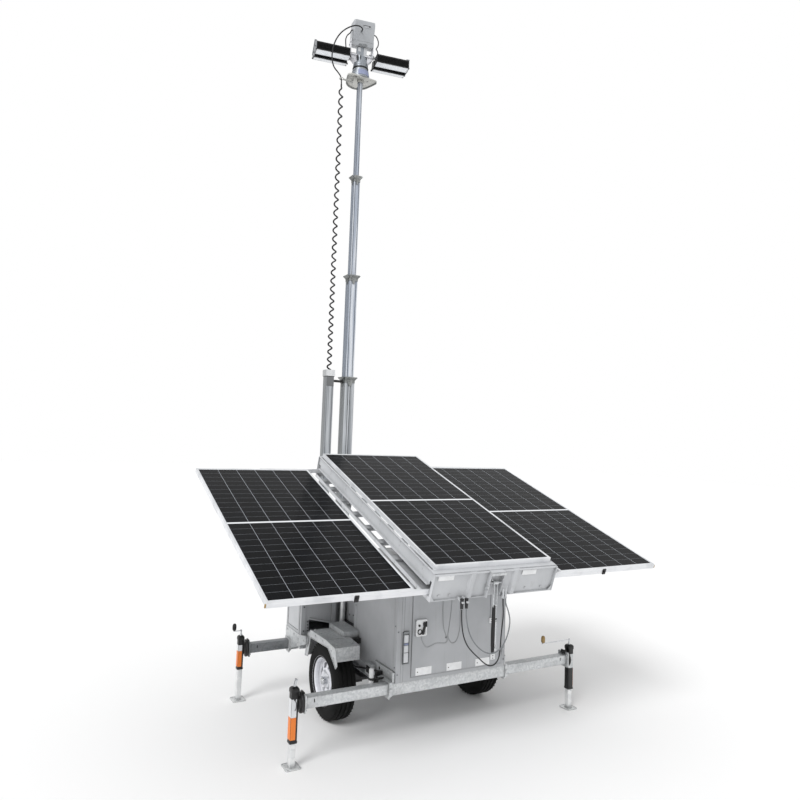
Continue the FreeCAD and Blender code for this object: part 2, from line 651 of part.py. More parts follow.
def make_running_gear():
    zw = WHEEL_R + WHEEL_CLEAR
    half_track = WHEEL_OUT_X - WHEEL_W / 2
    for name, side in (("left", -1), ("right", 1)):
        x0 = side * half_track - WHEEL_W / 2
        tyre = tyre_solid(side * half_track, zw)
        add("tyre_" + name, tyre)
        rim = rod((x0 + BEAD_IN, WHEEL_Y, zw), (1, 0, 0), RIM_R, WHEEL_W - 2 * BEAD_IN)
        rim = rim.cut(rod((x0, WHEEL_Y, zw), (1, 0, 0), RIM_R - 8, WHEEL_W + 2))
        disc_x = side * (WHEEL_OUT_X - 62)
        disc = rod((disc_x - 6, WHEEL_Y, zw), (1, 0, 0), RIM_R - 4, 12)
        hub_x0 = side * (WHEEL_OUT_X - 20)
        hub_x1 = hub_x0 - side * HUB_L
        hub = rod((min(hub_x0, hub_x1), WHEEL_Y, zw), (1, 0, 0), HUB_R, HUB_L)
        holes = []
        for k in range(8):
            a = 2 * math.pi * k / 8
            hole_y, hole_z = WHEEL_Y + WINDOW_AT * math.cos(a), zw + WINDOW_AT * math.sin(a)
            holes.append(rod((disc_x - WINDOW_R, hole_y, hole_z), (1, 0, 0), WINDOW_R, 2 * WINDOW_R))
        wheel = fuse([rim, disc.cut(Part.makeCompound(holes)), hub])
        bore = rod((side * half_track - WHEEL_W, WHEEL_Y, zw), (1, 0, 0), 20 + PIN_FIT, 2 * WHEEL_W)
        shell_out = side * (WHEEL_OUT_X - 26)
        cap = rod((min(shell_out, side * WHEEL_OUT_X), WHEEL_Y, zw), (1, 0, 0), 30, 26)
        add("wheel_" + name, wheel.cut(bore).fuse(cap))
    inner_face = half_track - WHEEL_W / 2
    axle = [box(-inner_face + 20, inner_face - 20, WHEEL_Y - AXLE / 2, WHEEL_Y + AXLE / 2,
                zw - AXLE / 2, zw + AXLE / 2)]
    for side in (-1, 1):
        a, b = side * (inner_face - 30), side * (WHEEL_OUT_X - 27)
        axle.append(rod((min(a, b), WHEEL_Y, zw), (1, 0, 0), 20, abs(a - b)))
    add("axle", fuse(axle))
    # Leaf springs: an arched stack under each rail with hangers at both ends
    springs = []
    for side in (-1, 1):
        x = side * (RAIL_OUT - RAIL_W / 2)
        leaves = []
        for half, z in ((SPRING_HALF, zw + AXLE / 2 + 14), (SPRING_HALF * 0.66, zw + AXLE / 2)):
            leaves.append(box(x - SPRING_W / 2, x + SPRING_W / 2, WHEEL_Y - half, WHEEL_Y + half, z, z + 14))
        for end in (-1, 1):
            y = WHEEL_Y + end * (SPRING_HALF - 12)
            leaves.append(box(x - SPRING_W / 2, x + SPRING_W / 2, y - 20, y + 20,
                              zw + AXLE / 2 + 14, RAIL_TOP - RAIL_H))
        springs.append(fuse(leaves))
    add("leaf_springs", Part.makeCompound(springs))
    # Fenders: bent sheet over each wheel, a pointed skirt outside it and a ledge along the cabinet
    outline = list(FENDER_LINE)
    inner_line = [(y, z - SHEET) for y, z in outline]
    inner_line[0] = (outline[0][0] + SHEET, outline[0][1])
    inner_line[1] = (outline[1][0] + SHEET, outline[1][1] - SHEET)
    inner_line[-2] = (outline[-2][0] - SHEET, outline[-2][1] - SHEET)
    inner_line[-1] = (outline[-1][0] - SHEET, outline[-1][1])
    sheet = prism_x(outline + inner_line[::-1], -FENDER_OUT, -FENDER_IN)
    skirt = prism_x(SKIRT_LINE, -FENDER_OUT, -FENDER_OUT + SHEET)
    ledge_out, ledge_y0, ledge_y1, ledge_low, ledge_top = LEDGE
    ledge = box(-ledge_out, -CABINET_HALF_W, ledge_y0, ledge_y1, ledge_low, ledge_top)
    fender = fuse([sheet, skirt, ledge])
    add("fenders", both_sides(fender))


def make_body():
    w, t = CABINET_HALF_W, SHEET
    y0, y1 = CABINET_REAR_Y, CABINET_FRONT_Y
    outer = box(-w, w, y0, y1, RAIL_TOP, CABINET_TOP)
    cabinet = outer.cut(box(-w + t, w - t, y0 + t, y1 - t, RAIL_TOP + t, CABINET_TOP - t))
    m = DOOR_LAP
    hole = box(DOOR_LEFT + m, DOOR_RIGHT - m, y0 - 1, y0 + t + 1, DOOR_LOW + m, DOOR_TOP - m)
    cabinet = cabinet.cut(hole)
    # Door: an outer sheet that laps the opening and an inner pan that goes into it
    g = DOOR_GAP
    face = y0 - SLIDE_GAP
    leaf = box(DOOR_LEFT, DOOR_RIGHT, face - DOOR_T, face, DOOR_LOW, DOOR_TOP)
    pan = box(DOOR_LEFT + m + g, DOOR_RIGHT - m - g, face - 1, face + PAN_IN, DOOR_LOW + m + g, DOOR_TOP - m - g)
    latch_x = DOOR_LEFT + LATCH_IN
    latch = box(latch_x - LATCH_HALF_W, latch_x + LATCH_HALF_W, face - DOOR_T - LATCH_T, face - DOOR_T,
                LATCH_LOW, LATCH_TOP)
    hx, hy = DOOR_RIGHT + HINGE_R + 1, face - DOOR_T - HINGE_R + 3
    leaves, posts = [leaf, pan, latch], []
    h, pin_r = HINGE_H, HINGE_R - 4
    heights = (DOOR_LOW + HINGE_FROM_END, DOOR_TOP - HINGE_FROM_END)
    for z in heights:
        eye = rod((hx, hy, z - h), (0, 0, 1), HINGE_R, h - SLIDE_GAP)
        flap = box(DOOR_RIGHT - HINGE_LEAF, hx, face - DOOR_T - 3, face - DOOR_T, z - h, z - SLIDE_GAP)
        leaves.append(eye.fuse(flap))
        pin_eye = rod((hx, hy, z), (0, 0, 1), HINGE_R, h)
        tab = box(hx, hx + HINGE_LEAF - 6, y0 - HINGE_TAB, y0, z, z + h)
        arm = box(hx - 2, hx + 4, hy, y0 - HINGE_TAB + 1, z, z + h)
        pin = rod((hx, hy, z - h), (0, 0, 1), pin_r, h + 0.5)
        posts.append(fuse([pin_eye, tab, arm, pin]))
    door = fuse(leaves)
    for z in heights:
        door = door.cut(rod((hx, hy, z - h - 1), (0, 0, 1), pin_r + PIN_FIT, h + 2))
    add("rear_cabinet", fuse([cabinet] + posts))
    add("rear_door", door)
    add("battery_block", box(-BATTERY_HALF_W, BATTERY_HALF_W, y0 + BATTERY_BEHIND, y1 - BATTERY_AHEAD,
                             RAIL_TOP + t, BATTERY_TOP))
    # Bay between cabinet and front box, then the full-width front box
    b = BAY_HALF_W
    bay = box(-b, b, y1, FRONT_BOX_REAR_Y, RAIL_TOP, CABINET_TOP)
    bay = bay.cut(box(-b + t, b - t, y1 - 1, FRONT_BOX_REAR_Y + 1, RAIL_TOP + t, CABINET_TOP - t))
    add("bay_walls", bay)
    fw, f0, f1 = FRONT_BOX_HALF_W, FRONT_BOX_REAR_Y, FRONT_BOX_FRONT_Y
    front = box(-fw, fw, f0, f1, FRONT_BOX_LOW, CABINET_TOP)
    hollow = box(-fw + t, fw - t, f0 + t, f1 - t, FRONT_BOX_LOW + t, CABINET_TOP - t)
    slots = []
    for side in (-1, 1):
        a, c = side * RAM_SLOT_IN, side * RAM_SLOT_OUT
        lo, hi = min(a, c), max(a, c)
        hollow = hollow.cut(box(lo - t, hi + t, f0, RAM_SLOT_TO + t, FRONT_BOX_LOW, CABINET_TOP))
        slots.append(box(lo, hi, f0 - 1, RAM_SLOT_TO, FRONT_BOX_LOW - 1, CABINET_TOP + 1))
    front = front.cut(hollow).cut(Part.makeCompound(slots))
    for side in (-1, 1):
        wire = Part.makePolygon([V(side * x, f0 - 1, z) for x, z in WING_OPENING + WING_OPENING[:1]])
        front = front.cut(Part.Face(wire).extrude(V(0, t + 2, 0)))
        # Rail along the opening's upper edge
        (x0, z0), (x1, z1) = WING_OPENING[1:3]
        rail = Part.makePolygon([V(side * x0, f0, z0), V(side * x1, f0, z1), V(side * x1, f0, z1 + WING_RAIL_T),
                                 V(side * x0, f0, z0 + WING_RAIL_T), V(side * x0, f0, z0)])
        front = front.fuse(Part.Face(rail).extrude(V(0, -WING_RAIL_T, 0)))
    front = front.cut(box(-b + t, b - t, f0 - 1, f0 + t + 1,
                          FRONT_BOX_LOW + BOX_RIM, CABINET_TOP - BOX_RIM))
    add("front_box", front)


def collar(size, inner, x, y, top):
    """Clamp at a section's top: a band and a flared mouth round the next section."""
    h = size / 2 + 7
    band = box(x - h, x + h, y - h, y + h, top - COLLAR_H, top - FLARE_H)
    lo = Part.makePolygon([V(x + sx * h, y + sy * h, top - FLARE_H)
                           for sx, sy in ((-1, -1), (1, -1), (1, 1), (-1, 1), (-1, -1))])
    f = h + FLARE_OUT
    hi = Part.makePolygon([V(x + sx * f, y + sy * f, top)
                           for sx, sy in ((-1, -1), (1, -1), (1, 1), (-1, 1), (-1, -1))])
    flare = Part.makeLoft([lo, hi], True, True)
    i = inner / 2 + SLEEVE_GAP
    return band.fuse(flare).cut(box(x - i, x + i, y - i, y + i, top - COLLAR_H - 5, top + 5))


def make_mast():
    sizes, tops = SECTION_SIZES, SECTION_TOPS
    foot_z = MAST_FOOT_Z + MAST_PLATE_T
    base = square_tube(sizes[0], SECTION_WALL, 0, MAST_Y, foot_z, tops[0] - SECTION_REVEAL)
    base = base.fuse(collar(sizes[0], sizes[1], 0, MAST_Y, tops[0]))
    f = MAST_FOOT_HALF
    foot = box(-f, f, MAST_Y - f, MAST_Y + f, foot_z, foot_z + MAST_FOOT_T)
    add("mast_base", base.fuse(foot))
    for k in (1, 2, 3):
        bottom = tops[k - 1] - SECTION_LAP
        last = k == 3
        wall = SECTION_WALL
        piece = square_tube(sizes[k], wall, 0, MAST_Y, bottom, tops[k] - (0 if last else SECTION_REVEAL))
        if not last:
            piece = piece.fuse(collar(sizes[k], sizes[k + 1], 0, MAST_Y, tops[k]))
        # Slide pads at the foot of each section, inside the section below
        pad = (sizes[k - 1] - 2 * SECTION_WALL) / 2 - SLEEVE_GAP
        pads = box(-pad, pad, MAST_Y - pad, MAST_Y + pad, bottom, bottom + PAD_H)
        h = sizes[k] / 2 - wall
        pads = pads.cut(box(-h, h, MAST_Y - h, MAST_Y + h, bottom - 1, bottom + PAD_H + 1))
        add("mast_section_%d" % (k + 1), piece.fuse(pads))
    # Post that stores the curly cord, tied to the mast by a link bar
    post = square_tube(POST_W, POST_WALL, POST_X, MAST_Y, foot_z, POST_TOP)
    cap = square_tube(POST_W + 2 * POST_CAP_PROUD, POST_CAP_PROUD + 1, POST_X, MAST_Y,
                      POST_TOP - POST_CAP_H, POST_TOP)
    link_x = -sizes[0] / 2 - 7
    link = box(POST_X + POST_W / 2, link_x, MAST_Y - LINK_HALF, MAST_Y + LINK_HALF,
               tops[0] - COLLAR_H, tops[0] - COLLAR_H + LINK_H)
    i = POST_W / 2 - POST_WALL
    seat = box(POST_X - i, POST_X + i, MAST_Y - i, MAST_Y + i, CURL_LOW - 10, CURL_LOW - SLIDE_GAP)
    add("cable_post", fuse([post, cap, link, seat]))


def turned(shape):
    """Head's pieces are drawn square to the trailer, then turned about the mast."""
    t = shape.copy()
    t.rotate(V(0, MAST_Y, 0), V(0, 0, 1), HEAD_TURN)
    return t


def on_head(shape):
    """Box and what is on it lean about the cross arm, then turn with the head."""
    t = shape.copy()
    t.rotate(V(0, MAST_Y, BOX_LOW + 30), V(1, 0, 0), BOX_LEAN)
    return turned(t)


def pan_solid(shrink, low, high):
    """Pan's outline, its edges moved in by a wall, between two heights."""
    k = 1 - shrink / PAN_HALF_W
    w, c, rear, side = PAN_HALF_W, PAN_CORNER, -PAN_REAR, -PAN_SIDE
    sx, sy = PAN_SHOULDER
    bend = (c + 0.707 * (w - c), rear + 0.293 * (side - rear))
    corners = ((-c, rear), (c, rear), (w, side), (sx, sy), (-sx, sy), (-w, side))
    middles = (None, bend, None, (0, PAN_NOSE), None, (-bend[0], bend[1]))
    edges = []
    for n, middle in enumerate(middles):
        spots = [corners[n], middle, corners[(n + 1) % len(corners)]]
        a, m, b = [at and V(k * at[0], MAST_Y + k * at[1], low) for at in spots]
        edges.append(Part.Arc(a, m, b).toShape() if m else Part.makeLine(a, b))
    return Part.Face(Part.Wire(edges)).extrude(V(0, 0, high - low))


def make_head():
    z = SECTION_TOPS[3]
    w = PAN_SHEET
    pan = pan_solid(0, z - PAN_LIP, z + w).cut(pan_solid(w, z - PAN_LIP - 1, z))
    cone_z = z + w + DRUM_CONE_H
    drum = Part.makeCone(DRUM_FOOT_R, DRUM_NECK_R, DRUM_CONE_H, V(0, MAST_Y, z + w))
    drum = drum.fuse(rod((0, MAST_Y, cone_z), (0, 0, 1), DRUM_R, TURRET_TOP - cone_z))
    plug = box(-20, 20, MAST_Y - 20, MAST_Y + 20, z - 60, z)
    arm_z = z - RING_ARM_DOWN
    half = RING_ARM_W / 2
    roof = z + w / 2
    hanger = box(-RING_ARM_IN - 2 * half, -RING_ARM_IN, MAST_Y - half, MAST_Y + half, arm_z, roof)
    arm = box(POST_X + RING_R - RING_T / 2, -RING_ARM_IN, MAST_Y - half, MAST_Y + half, arm_z, arm_z + RING_ARM_T)
    ring = Part.makeTorus(RING_R, RING_T, V(POST_X, MAST_Y, arm_z + RING_ARM_T / 2))
    ear_x, ear_behind, ear_down, ear_r, ear_t = EAR_LUG
    ear_y = MAST_Y - ear_behind
    ear = rod((ear_x, ear_y, z - ear_down), (0, 1, 0), ear_r, ear_t)
    ear = ear.fuse(box(ear_x - ear_r / 2, ear_x + ear_r / 2, ear_y, ear_y + ear_t, z - ear_down, roof))
    add("head_plate", fuse([pan, drum, plug, hanger, arm, ring, ear]))
    neck_z = TURRET_TOP + SLIDE_GAP
    base_z = FORK_Z
    cone = Part.makeCone(DRUM_R, FORK_NECK_R, base_z - neck_z, V(0, MAST_Y, neck_z))
    half, d = BOX_W / 2 + SLIDE_GAP, YOKE_D / 2
    parts = [cone, box(-half - SHEET, half + SHEET, MAST_Y - d, MAST_Y + d, base_z, base_z + YOKE_BASE_T)]
    for side in (-1, 1):
        a, b = side * half, side * (half + SHEET)
        parts.append(box(min(a, b), max(a, b), MAST_Y - d, MAST_Y + d, base_z, BOX_LOW + 60))
        # Sloping gusset from the cheek's foot in to the neck
        foot = [(b, base_z), (b, base_z - YOKE_BASE_T), (side * DRUM_R * 0.8, neck_z + SHEET * 8), (0, base_z)]
        gusset = Part.makePolygon([V(x, MAST_Y - GUSSET_HALF_D, h) for x, h in foot + foot[:1]])
        parts.append(Part.Face(gusset).extrude(V(0, 2 * GUSSET_HALF_D, 0)))
    neck = box(-NECK_W / 2, NECK_W / 2, MAST_Y - NECK_D / 2, MAST_Y + NECK_D / 2, base_z, BOX_LOW - NECK_GAP)
    i, deep, low_i = NECK_W / 2 - SHEET, NECK_D / 2 - SHEET, base_z + YOKE_BASE_T
    neck = neck.cut(box(-i, i, MAST_Y - deep, MAST_Y + deep, low_i, BOX_LOW - NECK_GAP - SHEET))
    pin_hole = rod((-BOX_W, MAST_Y, HEAD_TILT_Z), (1, 0, 0), ARM_R + PIN_FIT, 2 * BOX_W)
    add("head_yoke", turned(fuse(parts + [neck]).cut(pin_hole)))
    # Leaning sheet box with the driver inside
    shell = box(-BOX_W / 2, BOX_W / 2, MAST_Y - BOX_D / 2, MAST_Y + BOX_D / 2, BOX_LOW, BOX_LOW + BOX_H)
    gland_x, gland_up = GLAND
    gland = rod((gland_x, MAST_Y - BOX_D / 2, BOX_LOW + gland_up), (0, -1, 0), PLUG_R, GLAND_L)
    add("head_box", on_head(shell.fuse(gland)))
    # Cross arm with two flood lamps a side
    arm_l = LAMP_IN_X + LAMP_L * 0.5 + 40
    add("lamp_arm", turned(rod((-arm_l, MAST_Y, HEAD_TILT_Z), (1, 0, 0), ARM_R, 2 * arm_l)))
    for name, side in (("left", -1), ("right", 1)):
        lamps = []
        for dy, lean in LAMP_ROWS:
            x0, x1 = side * LAMP_IN_X, side * (LAMP_IN_X + LAMP_L)
            lo, hi = min(x0, x1), max(x0, x1)
            lamp = box(lo, hi, MAST_Y + dy - LAMP_D / 2, MAST_Y + dy + LAMP_D / 2,
                       LAMP_Z - LAMP_H / 2, LAMP_Z + LAMP_H / 2)
            lamp.rotate(V(0, MAST_Y + dy, LAMP_Z), V(1, 0, 0), lean)
            lamps.append(lamp)
        out = side * (LAMP_IN_X + LAMP_L)
        corners = [V(out, MAST_Y + ahead, h) for ahead, h in LAMP_END + LAMP_END[:1]]
        end = Part.Face(Part.makePolygon(corners)).extrude(V(side * LAMP_END_T, 0, 0))
        lamps.append(end)
        mid = side * (LAMP_IN_X + LAMP_L / 2)
        half_w, half_d = LAMP_BRACKET_W / 2, LAMP_BRACKET_D / 2
        bracket = box(mid - half_w, mid + half_w, MAST_Y - half_d, MAST_Y + half_d,
                      HEAD_TILT_Z - half_w, HEAD_TILT_Z + ARM_R + SHEET)
        hole = rod((mid - half_d, MAST_Y, HEAD_TILT_Z), (1, 0, 0), ARM_R + PIN_FIT, LAMP_BRACKET_D)
        add("lamps_" + name, turned(fuse(lamps + [bracket]).cut(hole)))


def make_outriggers():
    h = OUTRIGGER / 2
    zc = RAIL_TOP - RAIL_H / 2
    for name, side, y, reach in CORNERS:
        def bx(a, b, *rest):
            return box(min(side * a, side * b), max(side * a, side * b), *rest)
        end_x = JACK_X - JACK_TUBE / 2 - BRACKET_T - SWIVEL_T
        beam = bx(BEAM_IN_X, end_x, y - h, y + h, zc - h, zc + h)
        i = h - OUTRIGGER_WALL
        beam = beam.cut(bx(BEAM_IN_X - 1, end_x - OUTRIGGER_WALL, y - i, y + i, zc - i, zc + i))
        plate = bx(end_x, end_x + BRACKET_T, y - END_PLATE_HALF, y + END_PLATE_HALF,
                   zc - END_PLATE_UP, zc + END_PLATE_UP)
        swivel = rod((side * end_x, y, zc), (side, 0, 0), SWIVEL_R, BRACKET_T + SWIVEL_LIP - SLIDE_GAP)
        add("outrigger_" + name, fuse([beam, plate, swivel]))
        jx = side * JACK_X
        hub = rod((side * (end_x + BRACKET_T + SWIVEL_LIP), y, zc), (side, 0, 0), SWIVEL_HUB_R,
                  SWIVEL_T - SWIVEL_LIP)
        tube = square_tube(JACK_TUBE, (JACK_TUBE - JACK_LEG) / 2 - SLEEVE_GAP, jx, y, JACK_BOTTOM, JACK_TOP)
        cap_w = JACK_TUBE / 2 + 3
        cap = box(jx - cap_w, jx + cap_w, y - cap_w, y + cap_w, JACK_TOP, JACK_TOP + JACK_CAP_H)
        crank_z = JACK_TOP + JACK_CAP_H + CRANK_UP
        half = CRANK_W / 2
        shaft = rod((jx, y, JACK_TOP + JACK_CAP_H), (0, 0, 1), half, CRANK_UP + CRANK_T)
        knob_x = JACK_X + reach
        crank = bx(min(knob_x, JACK_X) - half, max(knob_x, JACK_X) + half,
                   y - half, y + half, crank_z, crank_z + CRANK_T)
        knob = rod((side * knob_x, y, crank_z + CRANK_T), (0, 0, 1), KNOB_R, KNOB_H)
        add("jack_" + name, fuse([tube, hub, cap, shaft, crank, knob]))
        leg = square_tube(JACK_LEG, 4.0, jx, y, FOOT_T, LEG_TOP)
        f = FOOT_W / 2
        foot = box(jx - f, jx + f, y - f, y + f, 0, FOOT_T)
        add("leg_" + name, leg.fuse(foot))


def make_strut():
    """Latch strut that hangs from the rear trough: two links, then a bar."""
    py, pz = STRUT_AT
    a = math.radians(TILT)
    y = py * math.cos(a) - pz * math.sin(a)
    z = ARRAY_Z + py * math.sin(a) + pz * math.cos(a)
    links = []
    for off in (-14, 14):
        links.append(box(TROUGH_X + off - 2, TROUGH_X + off + 2, y - 11, y + 11, z - STRUT_LINK_L, z + 13))
    pin = rod((TROUGH_X - 50, y, z), (1, 0, 0), STRUT_PIN_R + PIN_FIT, 100)
    low = z - STRUT_LINK_L - STRUT_BAR_L
    bar = box(TROUGH_X - 16, TROUGH_X + 16, y - 12, y + 12, low, z - STRUT_LINK_L + 20)
    add("latch_strut", fuse(links + [bar]).cut(pin))


def lead_tube(name, points, r):
    """Lead along straight runs joined by the largest arcs that the runs allow."""
    pts = [V(*p) for p in points]
    edges, here, radii = [], pts[0], []
    for a, b, c in zip(pts, pts[1:], pts[2:]):
        u, w = (b - a).normalize(), (c - b).normalize()
        turn = u.getAngle(w)
        cut = 0.45 * min((b - a).Length, (c - b).Length)
        radius = cut / math.tan(turn / 2)
        radii.append(radius)
        start, end = b - u * cut, b + w * cut
        side = (w - u).normalize()
        centre = b + side * (radius / math.cos(turn / 2))
        edges.append(Part.makeLine(here, start))
        edges.append(Part.Arc(start, centre + (b - centre).normalize() * radius, end).toShape())
        here = end
    edges.append(Part.makeLine(here, pts[-1]))
    path = Part.Wire(edges)
    section = Part.Wire(Part.makeCircle(r, pts[0], pts[1] - pts[0]))
    tube = path.makePipeShell([section], True, False, 1)
    wanted = math.pi * r * r * path.Length
    runs = [(b - a).Length for a, b in zip(pts, pts[1:])]
    print(name, "length", round(path.Length), "tightest bend", round(min(radii)),
          "volume share", round(tube.Volume / wanted, 3), "runs", round(min(runs)), round(max(runs)))
    add(name, tube)


def make_cords():
    fat = rod((POST_X, MAST_Y, CURL_LOW), (0, 0, 1), CURL_D / 2, CURL_TOP - CURL_LOW)
    add("curly_cord", fat)
    gland_x, gland_up = GLAND
    gland_y = MAST_Y - BOX_D / 2 - GLAND_L
    line = Part.makeLine(V(gland_x, gland_y, BOX_LOW + gland_up),
                         V(gland_x, gland_y - GLAND_RUN, BOX_LOW + gland_up))
    start = [tuple(v.Point) for v in on_head(line).Vertexes]
    print("head lead starts", [[round(c, 2) for c in p] for p in start])
    route = start + [(x, MAST_Y + ahead, z) for x, ahead, z in HEAD_LEAD]
    lead_tube("head_lead", route, HEAD_LEAD_R)
    lead_tube("dark_lead", DARK_LEAD, LEAD_R)
    lead_tube("grey_lead", GREY_LEAD, LEAD_R)


make_panels()
make_housing()
make_pivots()
make_rams()
make_chassis()
make_running_gear()
make_body()
make_mast()
make_head()
make_outriggers()
make_strut()
make_cords()

os.makedirs("parts", exist_ok=True)
low = V(1e9, 1e9, 1e9)
high = V(-1e9, -1e9, -1e9)
for name, shape in NODES.items():
    shape.exportStep("parts/%s.step" % name)
    b = shape.BoundBox
    low = V(min(low.x, b.XMin), min(low.y, b.YMin), min(low.z, b.ZMin))
    high = V(max(high.x, b.XMax), max(high.y, b.YMax), max(high.z, b.ZMax))
    if not shape.isValid():
        print("not valid:", name)
    if len(shape.Solids) != 1:
        print(name, "has", len(shape.Solids), "solids")
print("nodes", len(NODES), "box", [round(v, 1) for v in low], [round(v, 1) for v in high])
print("origin station", round(ORIGIN_Y, 2))
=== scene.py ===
# %% [markdown]
# Dressing of a towed solar light tower: a single-axle trailer on four outrigger jacks, a tilted
# array with two side panels drawn out, a telescopic mast and a turning head with flood lamps.
# Lengths below are written in millimetres and set down in metres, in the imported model's own frame:
# X to the trailer's right, Y towards the hitch, Z up. Lengthwise places are "stations", counted
# forward from the low edge of the solar array, as in the construction.

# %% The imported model
import json
import math

import bmesh
import bpy
from mathutils import Matrix, Vector

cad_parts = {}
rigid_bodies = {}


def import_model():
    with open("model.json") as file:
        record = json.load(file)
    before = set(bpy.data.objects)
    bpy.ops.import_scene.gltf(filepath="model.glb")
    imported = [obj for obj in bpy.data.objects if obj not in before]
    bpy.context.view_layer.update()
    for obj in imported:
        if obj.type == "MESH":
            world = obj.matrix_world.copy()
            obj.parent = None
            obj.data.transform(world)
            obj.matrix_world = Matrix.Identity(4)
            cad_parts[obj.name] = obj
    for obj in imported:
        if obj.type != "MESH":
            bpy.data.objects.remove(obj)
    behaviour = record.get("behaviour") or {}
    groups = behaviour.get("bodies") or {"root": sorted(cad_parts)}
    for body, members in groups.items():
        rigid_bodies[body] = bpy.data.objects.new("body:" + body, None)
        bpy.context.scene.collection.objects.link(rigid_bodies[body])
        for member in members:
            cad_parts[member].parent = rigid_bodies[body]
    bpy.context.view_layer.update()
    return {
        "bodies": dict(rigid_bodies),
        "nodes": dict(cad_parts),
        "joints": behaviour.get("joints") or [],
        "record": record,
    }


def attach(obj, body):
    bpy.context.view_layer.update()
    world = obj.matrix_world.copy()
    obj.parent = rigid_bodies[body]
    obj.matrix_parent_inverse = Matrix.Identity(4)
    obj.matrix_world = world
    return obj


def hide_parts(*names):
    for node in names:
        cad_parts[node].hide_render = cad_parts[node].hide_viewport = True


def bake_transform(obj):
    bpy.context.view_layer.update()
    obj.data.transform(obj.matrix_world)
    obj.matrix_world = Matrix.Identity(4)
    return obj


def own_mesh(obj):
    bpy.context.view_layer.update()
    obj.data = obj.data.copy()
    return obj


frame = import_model()
print("CAD nodes:", len(frame["nodes"]))

# %% [markdown]
# Sizes and places that come again in several pieces, as on the construction.

# %% Sizes and places
MM = 0.001
ORIGIN_STATION = 1678.055
TILT = math.radians(19)
ARRAY_HEIGHT = 1419
PANEL_WIDTH = 1038
PANEL_LENGTH = 2094
LEFT_DROP = 160
RIGHT_DROP = 118
SIDE_SHIFT = -12
SIDE_MIDDLE = 1170
MAST_STATION = 2600
POST_X = -222
WHEEL_STATION = 1184
AXLE_HEIGHT = 303
CABINET_REAR = 500
CABINET_HALF = 506
FRONT_BOX_REAR = 1560
FRONT_BOX_SIDE = 832
# Inside the array: the housing's top sheet and its half width
HOUSING_TOP = -35
HOUSING_HALF = 545
# Cabinet's and box's wall sheets: their low edge and top edge
SHEET_LOW = 474
SHEET_TOP = 1196
# Telescopic sections: (name, body, side of the square, bottom, top)
MAST_FOOT = 480
MAST_SECTIONS = (("mast_base", "chassis", 115, MAST_FOOT, 2904),
                 ("mast_section_2", "mast_2", 98, 2604, 4009),
                 ("mast_section_3", "mast_3", 72, 3709, 5110),
                 ("mast_section_4", "mast_4", 50, 4810, 6205))
# Jacks: (corner, side, station, how far out the crank's knob stands)
REAR_BEAM = 560
FRONT_BEAM = 1832
JACKS = (("rear_left", -1, REAR_BEAM, 0), ("rear_right", 1, REAR_BEAM, -300),
         ("front_left", -1, FRONT_BEAM, 60), ("front_right", 1, FRONT_BEAM, 60))
JACK_X = 1273
BEAM_HEIGHT = 425
HEAD_TURN = math.radians(-11)
BOX_LEAN = math.radians(14)
BOX_LOW = 6590

# Millimetres at a station, to metres in the model's frame
TRAILER = Matrix.Translation((0, -ORIGIN_STATION * MM, 0)) @ Matrix.Scale(MM, 4)
# The array is drawn level, its middle panel's face at zero and its low edge at station 0
ARRAY = (Matrix.Translation((0, -ORIGIN_STATION * MM, ARRAY_HEIGHT * MM))
         @ Matrix.Rotation(TILT, 4, "X") @ Matrix.Scale(MM, 4))


# The head is drawn square to the trailer, round the mast's axis, then turned about it
HEAD = (Matrix.Translation((0, (MAST_STATION - ORIGIN_STATION) * MM, 0))
        @ Matrix.Rotation(HEAD_TURN, 4, "Z") @ Matrix.Scale(MM, 4))
# The lamps' box leans about a line just above its bottom
LAMP_BOX = (HEAD @ Matrix.Translation((0, 0, BOX_LOW + 30)) @ Matrix.Rotation(BOX_LEAN, 4, "X")
            @ Matrix.Translation((0, 0, -BOX_LOW - 30)))


def at(x, station, z):
    return TRAILER @ Vector((x, station, z))


# %% [markdown]
# The camera looks at the trailer's left rear corner from a little above a person's height. Its
# place, turn and focal length were solved from the panels' corners, the jacks and the mast.

# %% Camera
CAMERA_AT = (-3042.93, -3822.39, 2268.35)
CAMERA_YAW = math.radians(28.50)
CAMERA_PITCH = math.radians(3.88)
CAMERA_ROLL = math.radians(2.16)
PICTURE = 800
FOCAL_PIXELS = 662.67
CENTRE_PIXEL = (383.38, 393.16)
SENSOR = 36


def make_camera():
    data = bpy.data.cameras.new("camera")
    data.sensor_width = SENSOR
    data.lens = FOCAL_PIXELS * SENSOR / PICTURE
    data.shift_x = (PICTURE / 2 - CENTRE_PIXEL[0]) / PICTURE
    data.shift_y = (CENTRE_PIXEL[1] - PICTURE / 2) / PICTURE
    data.clip_end = 200
    forward = Vector((math.sin(CAMERA_YAW) * math.cos(CAMERA_PITCH),
                      math.cos(CAMERA_YAW) * math.cos(CAMERA_PITCH), math.sin(CAMERA_PITCH)))
    right = Vector((math.cos(CAMERA_YAW), -math.sin(CAMERA_YAW), 0))
    up = right.cross(forward)
    turned_right = right * math.cos(CAMERA_ROLL) + up * math.sin(CAMERA_ROLL)
    turned_up = up * math.cos(CAMERA_ROLL) - right * math.sin(CAMERA_ROLL)
    camera = bpy.data.objects.new("camera", data)
    axes = Matrix((turned_right, turned_up, -forward)).transposed()
    camera.matrix_world = Matrix.Translation(at(*CAMERA_AT)) @ axes.to_4x4()
    bpy.context.scene.collection.objects.link(camera)
    bpy.context.scene.camera = camera
    return camera


make_camera()
print("camera set")

# %% [markdown]
# Colours are written as they look on a screen and turned to linear light once. One small
# function adds a shader node, sets its options and fills or links its sockets.

# %% Shader tools


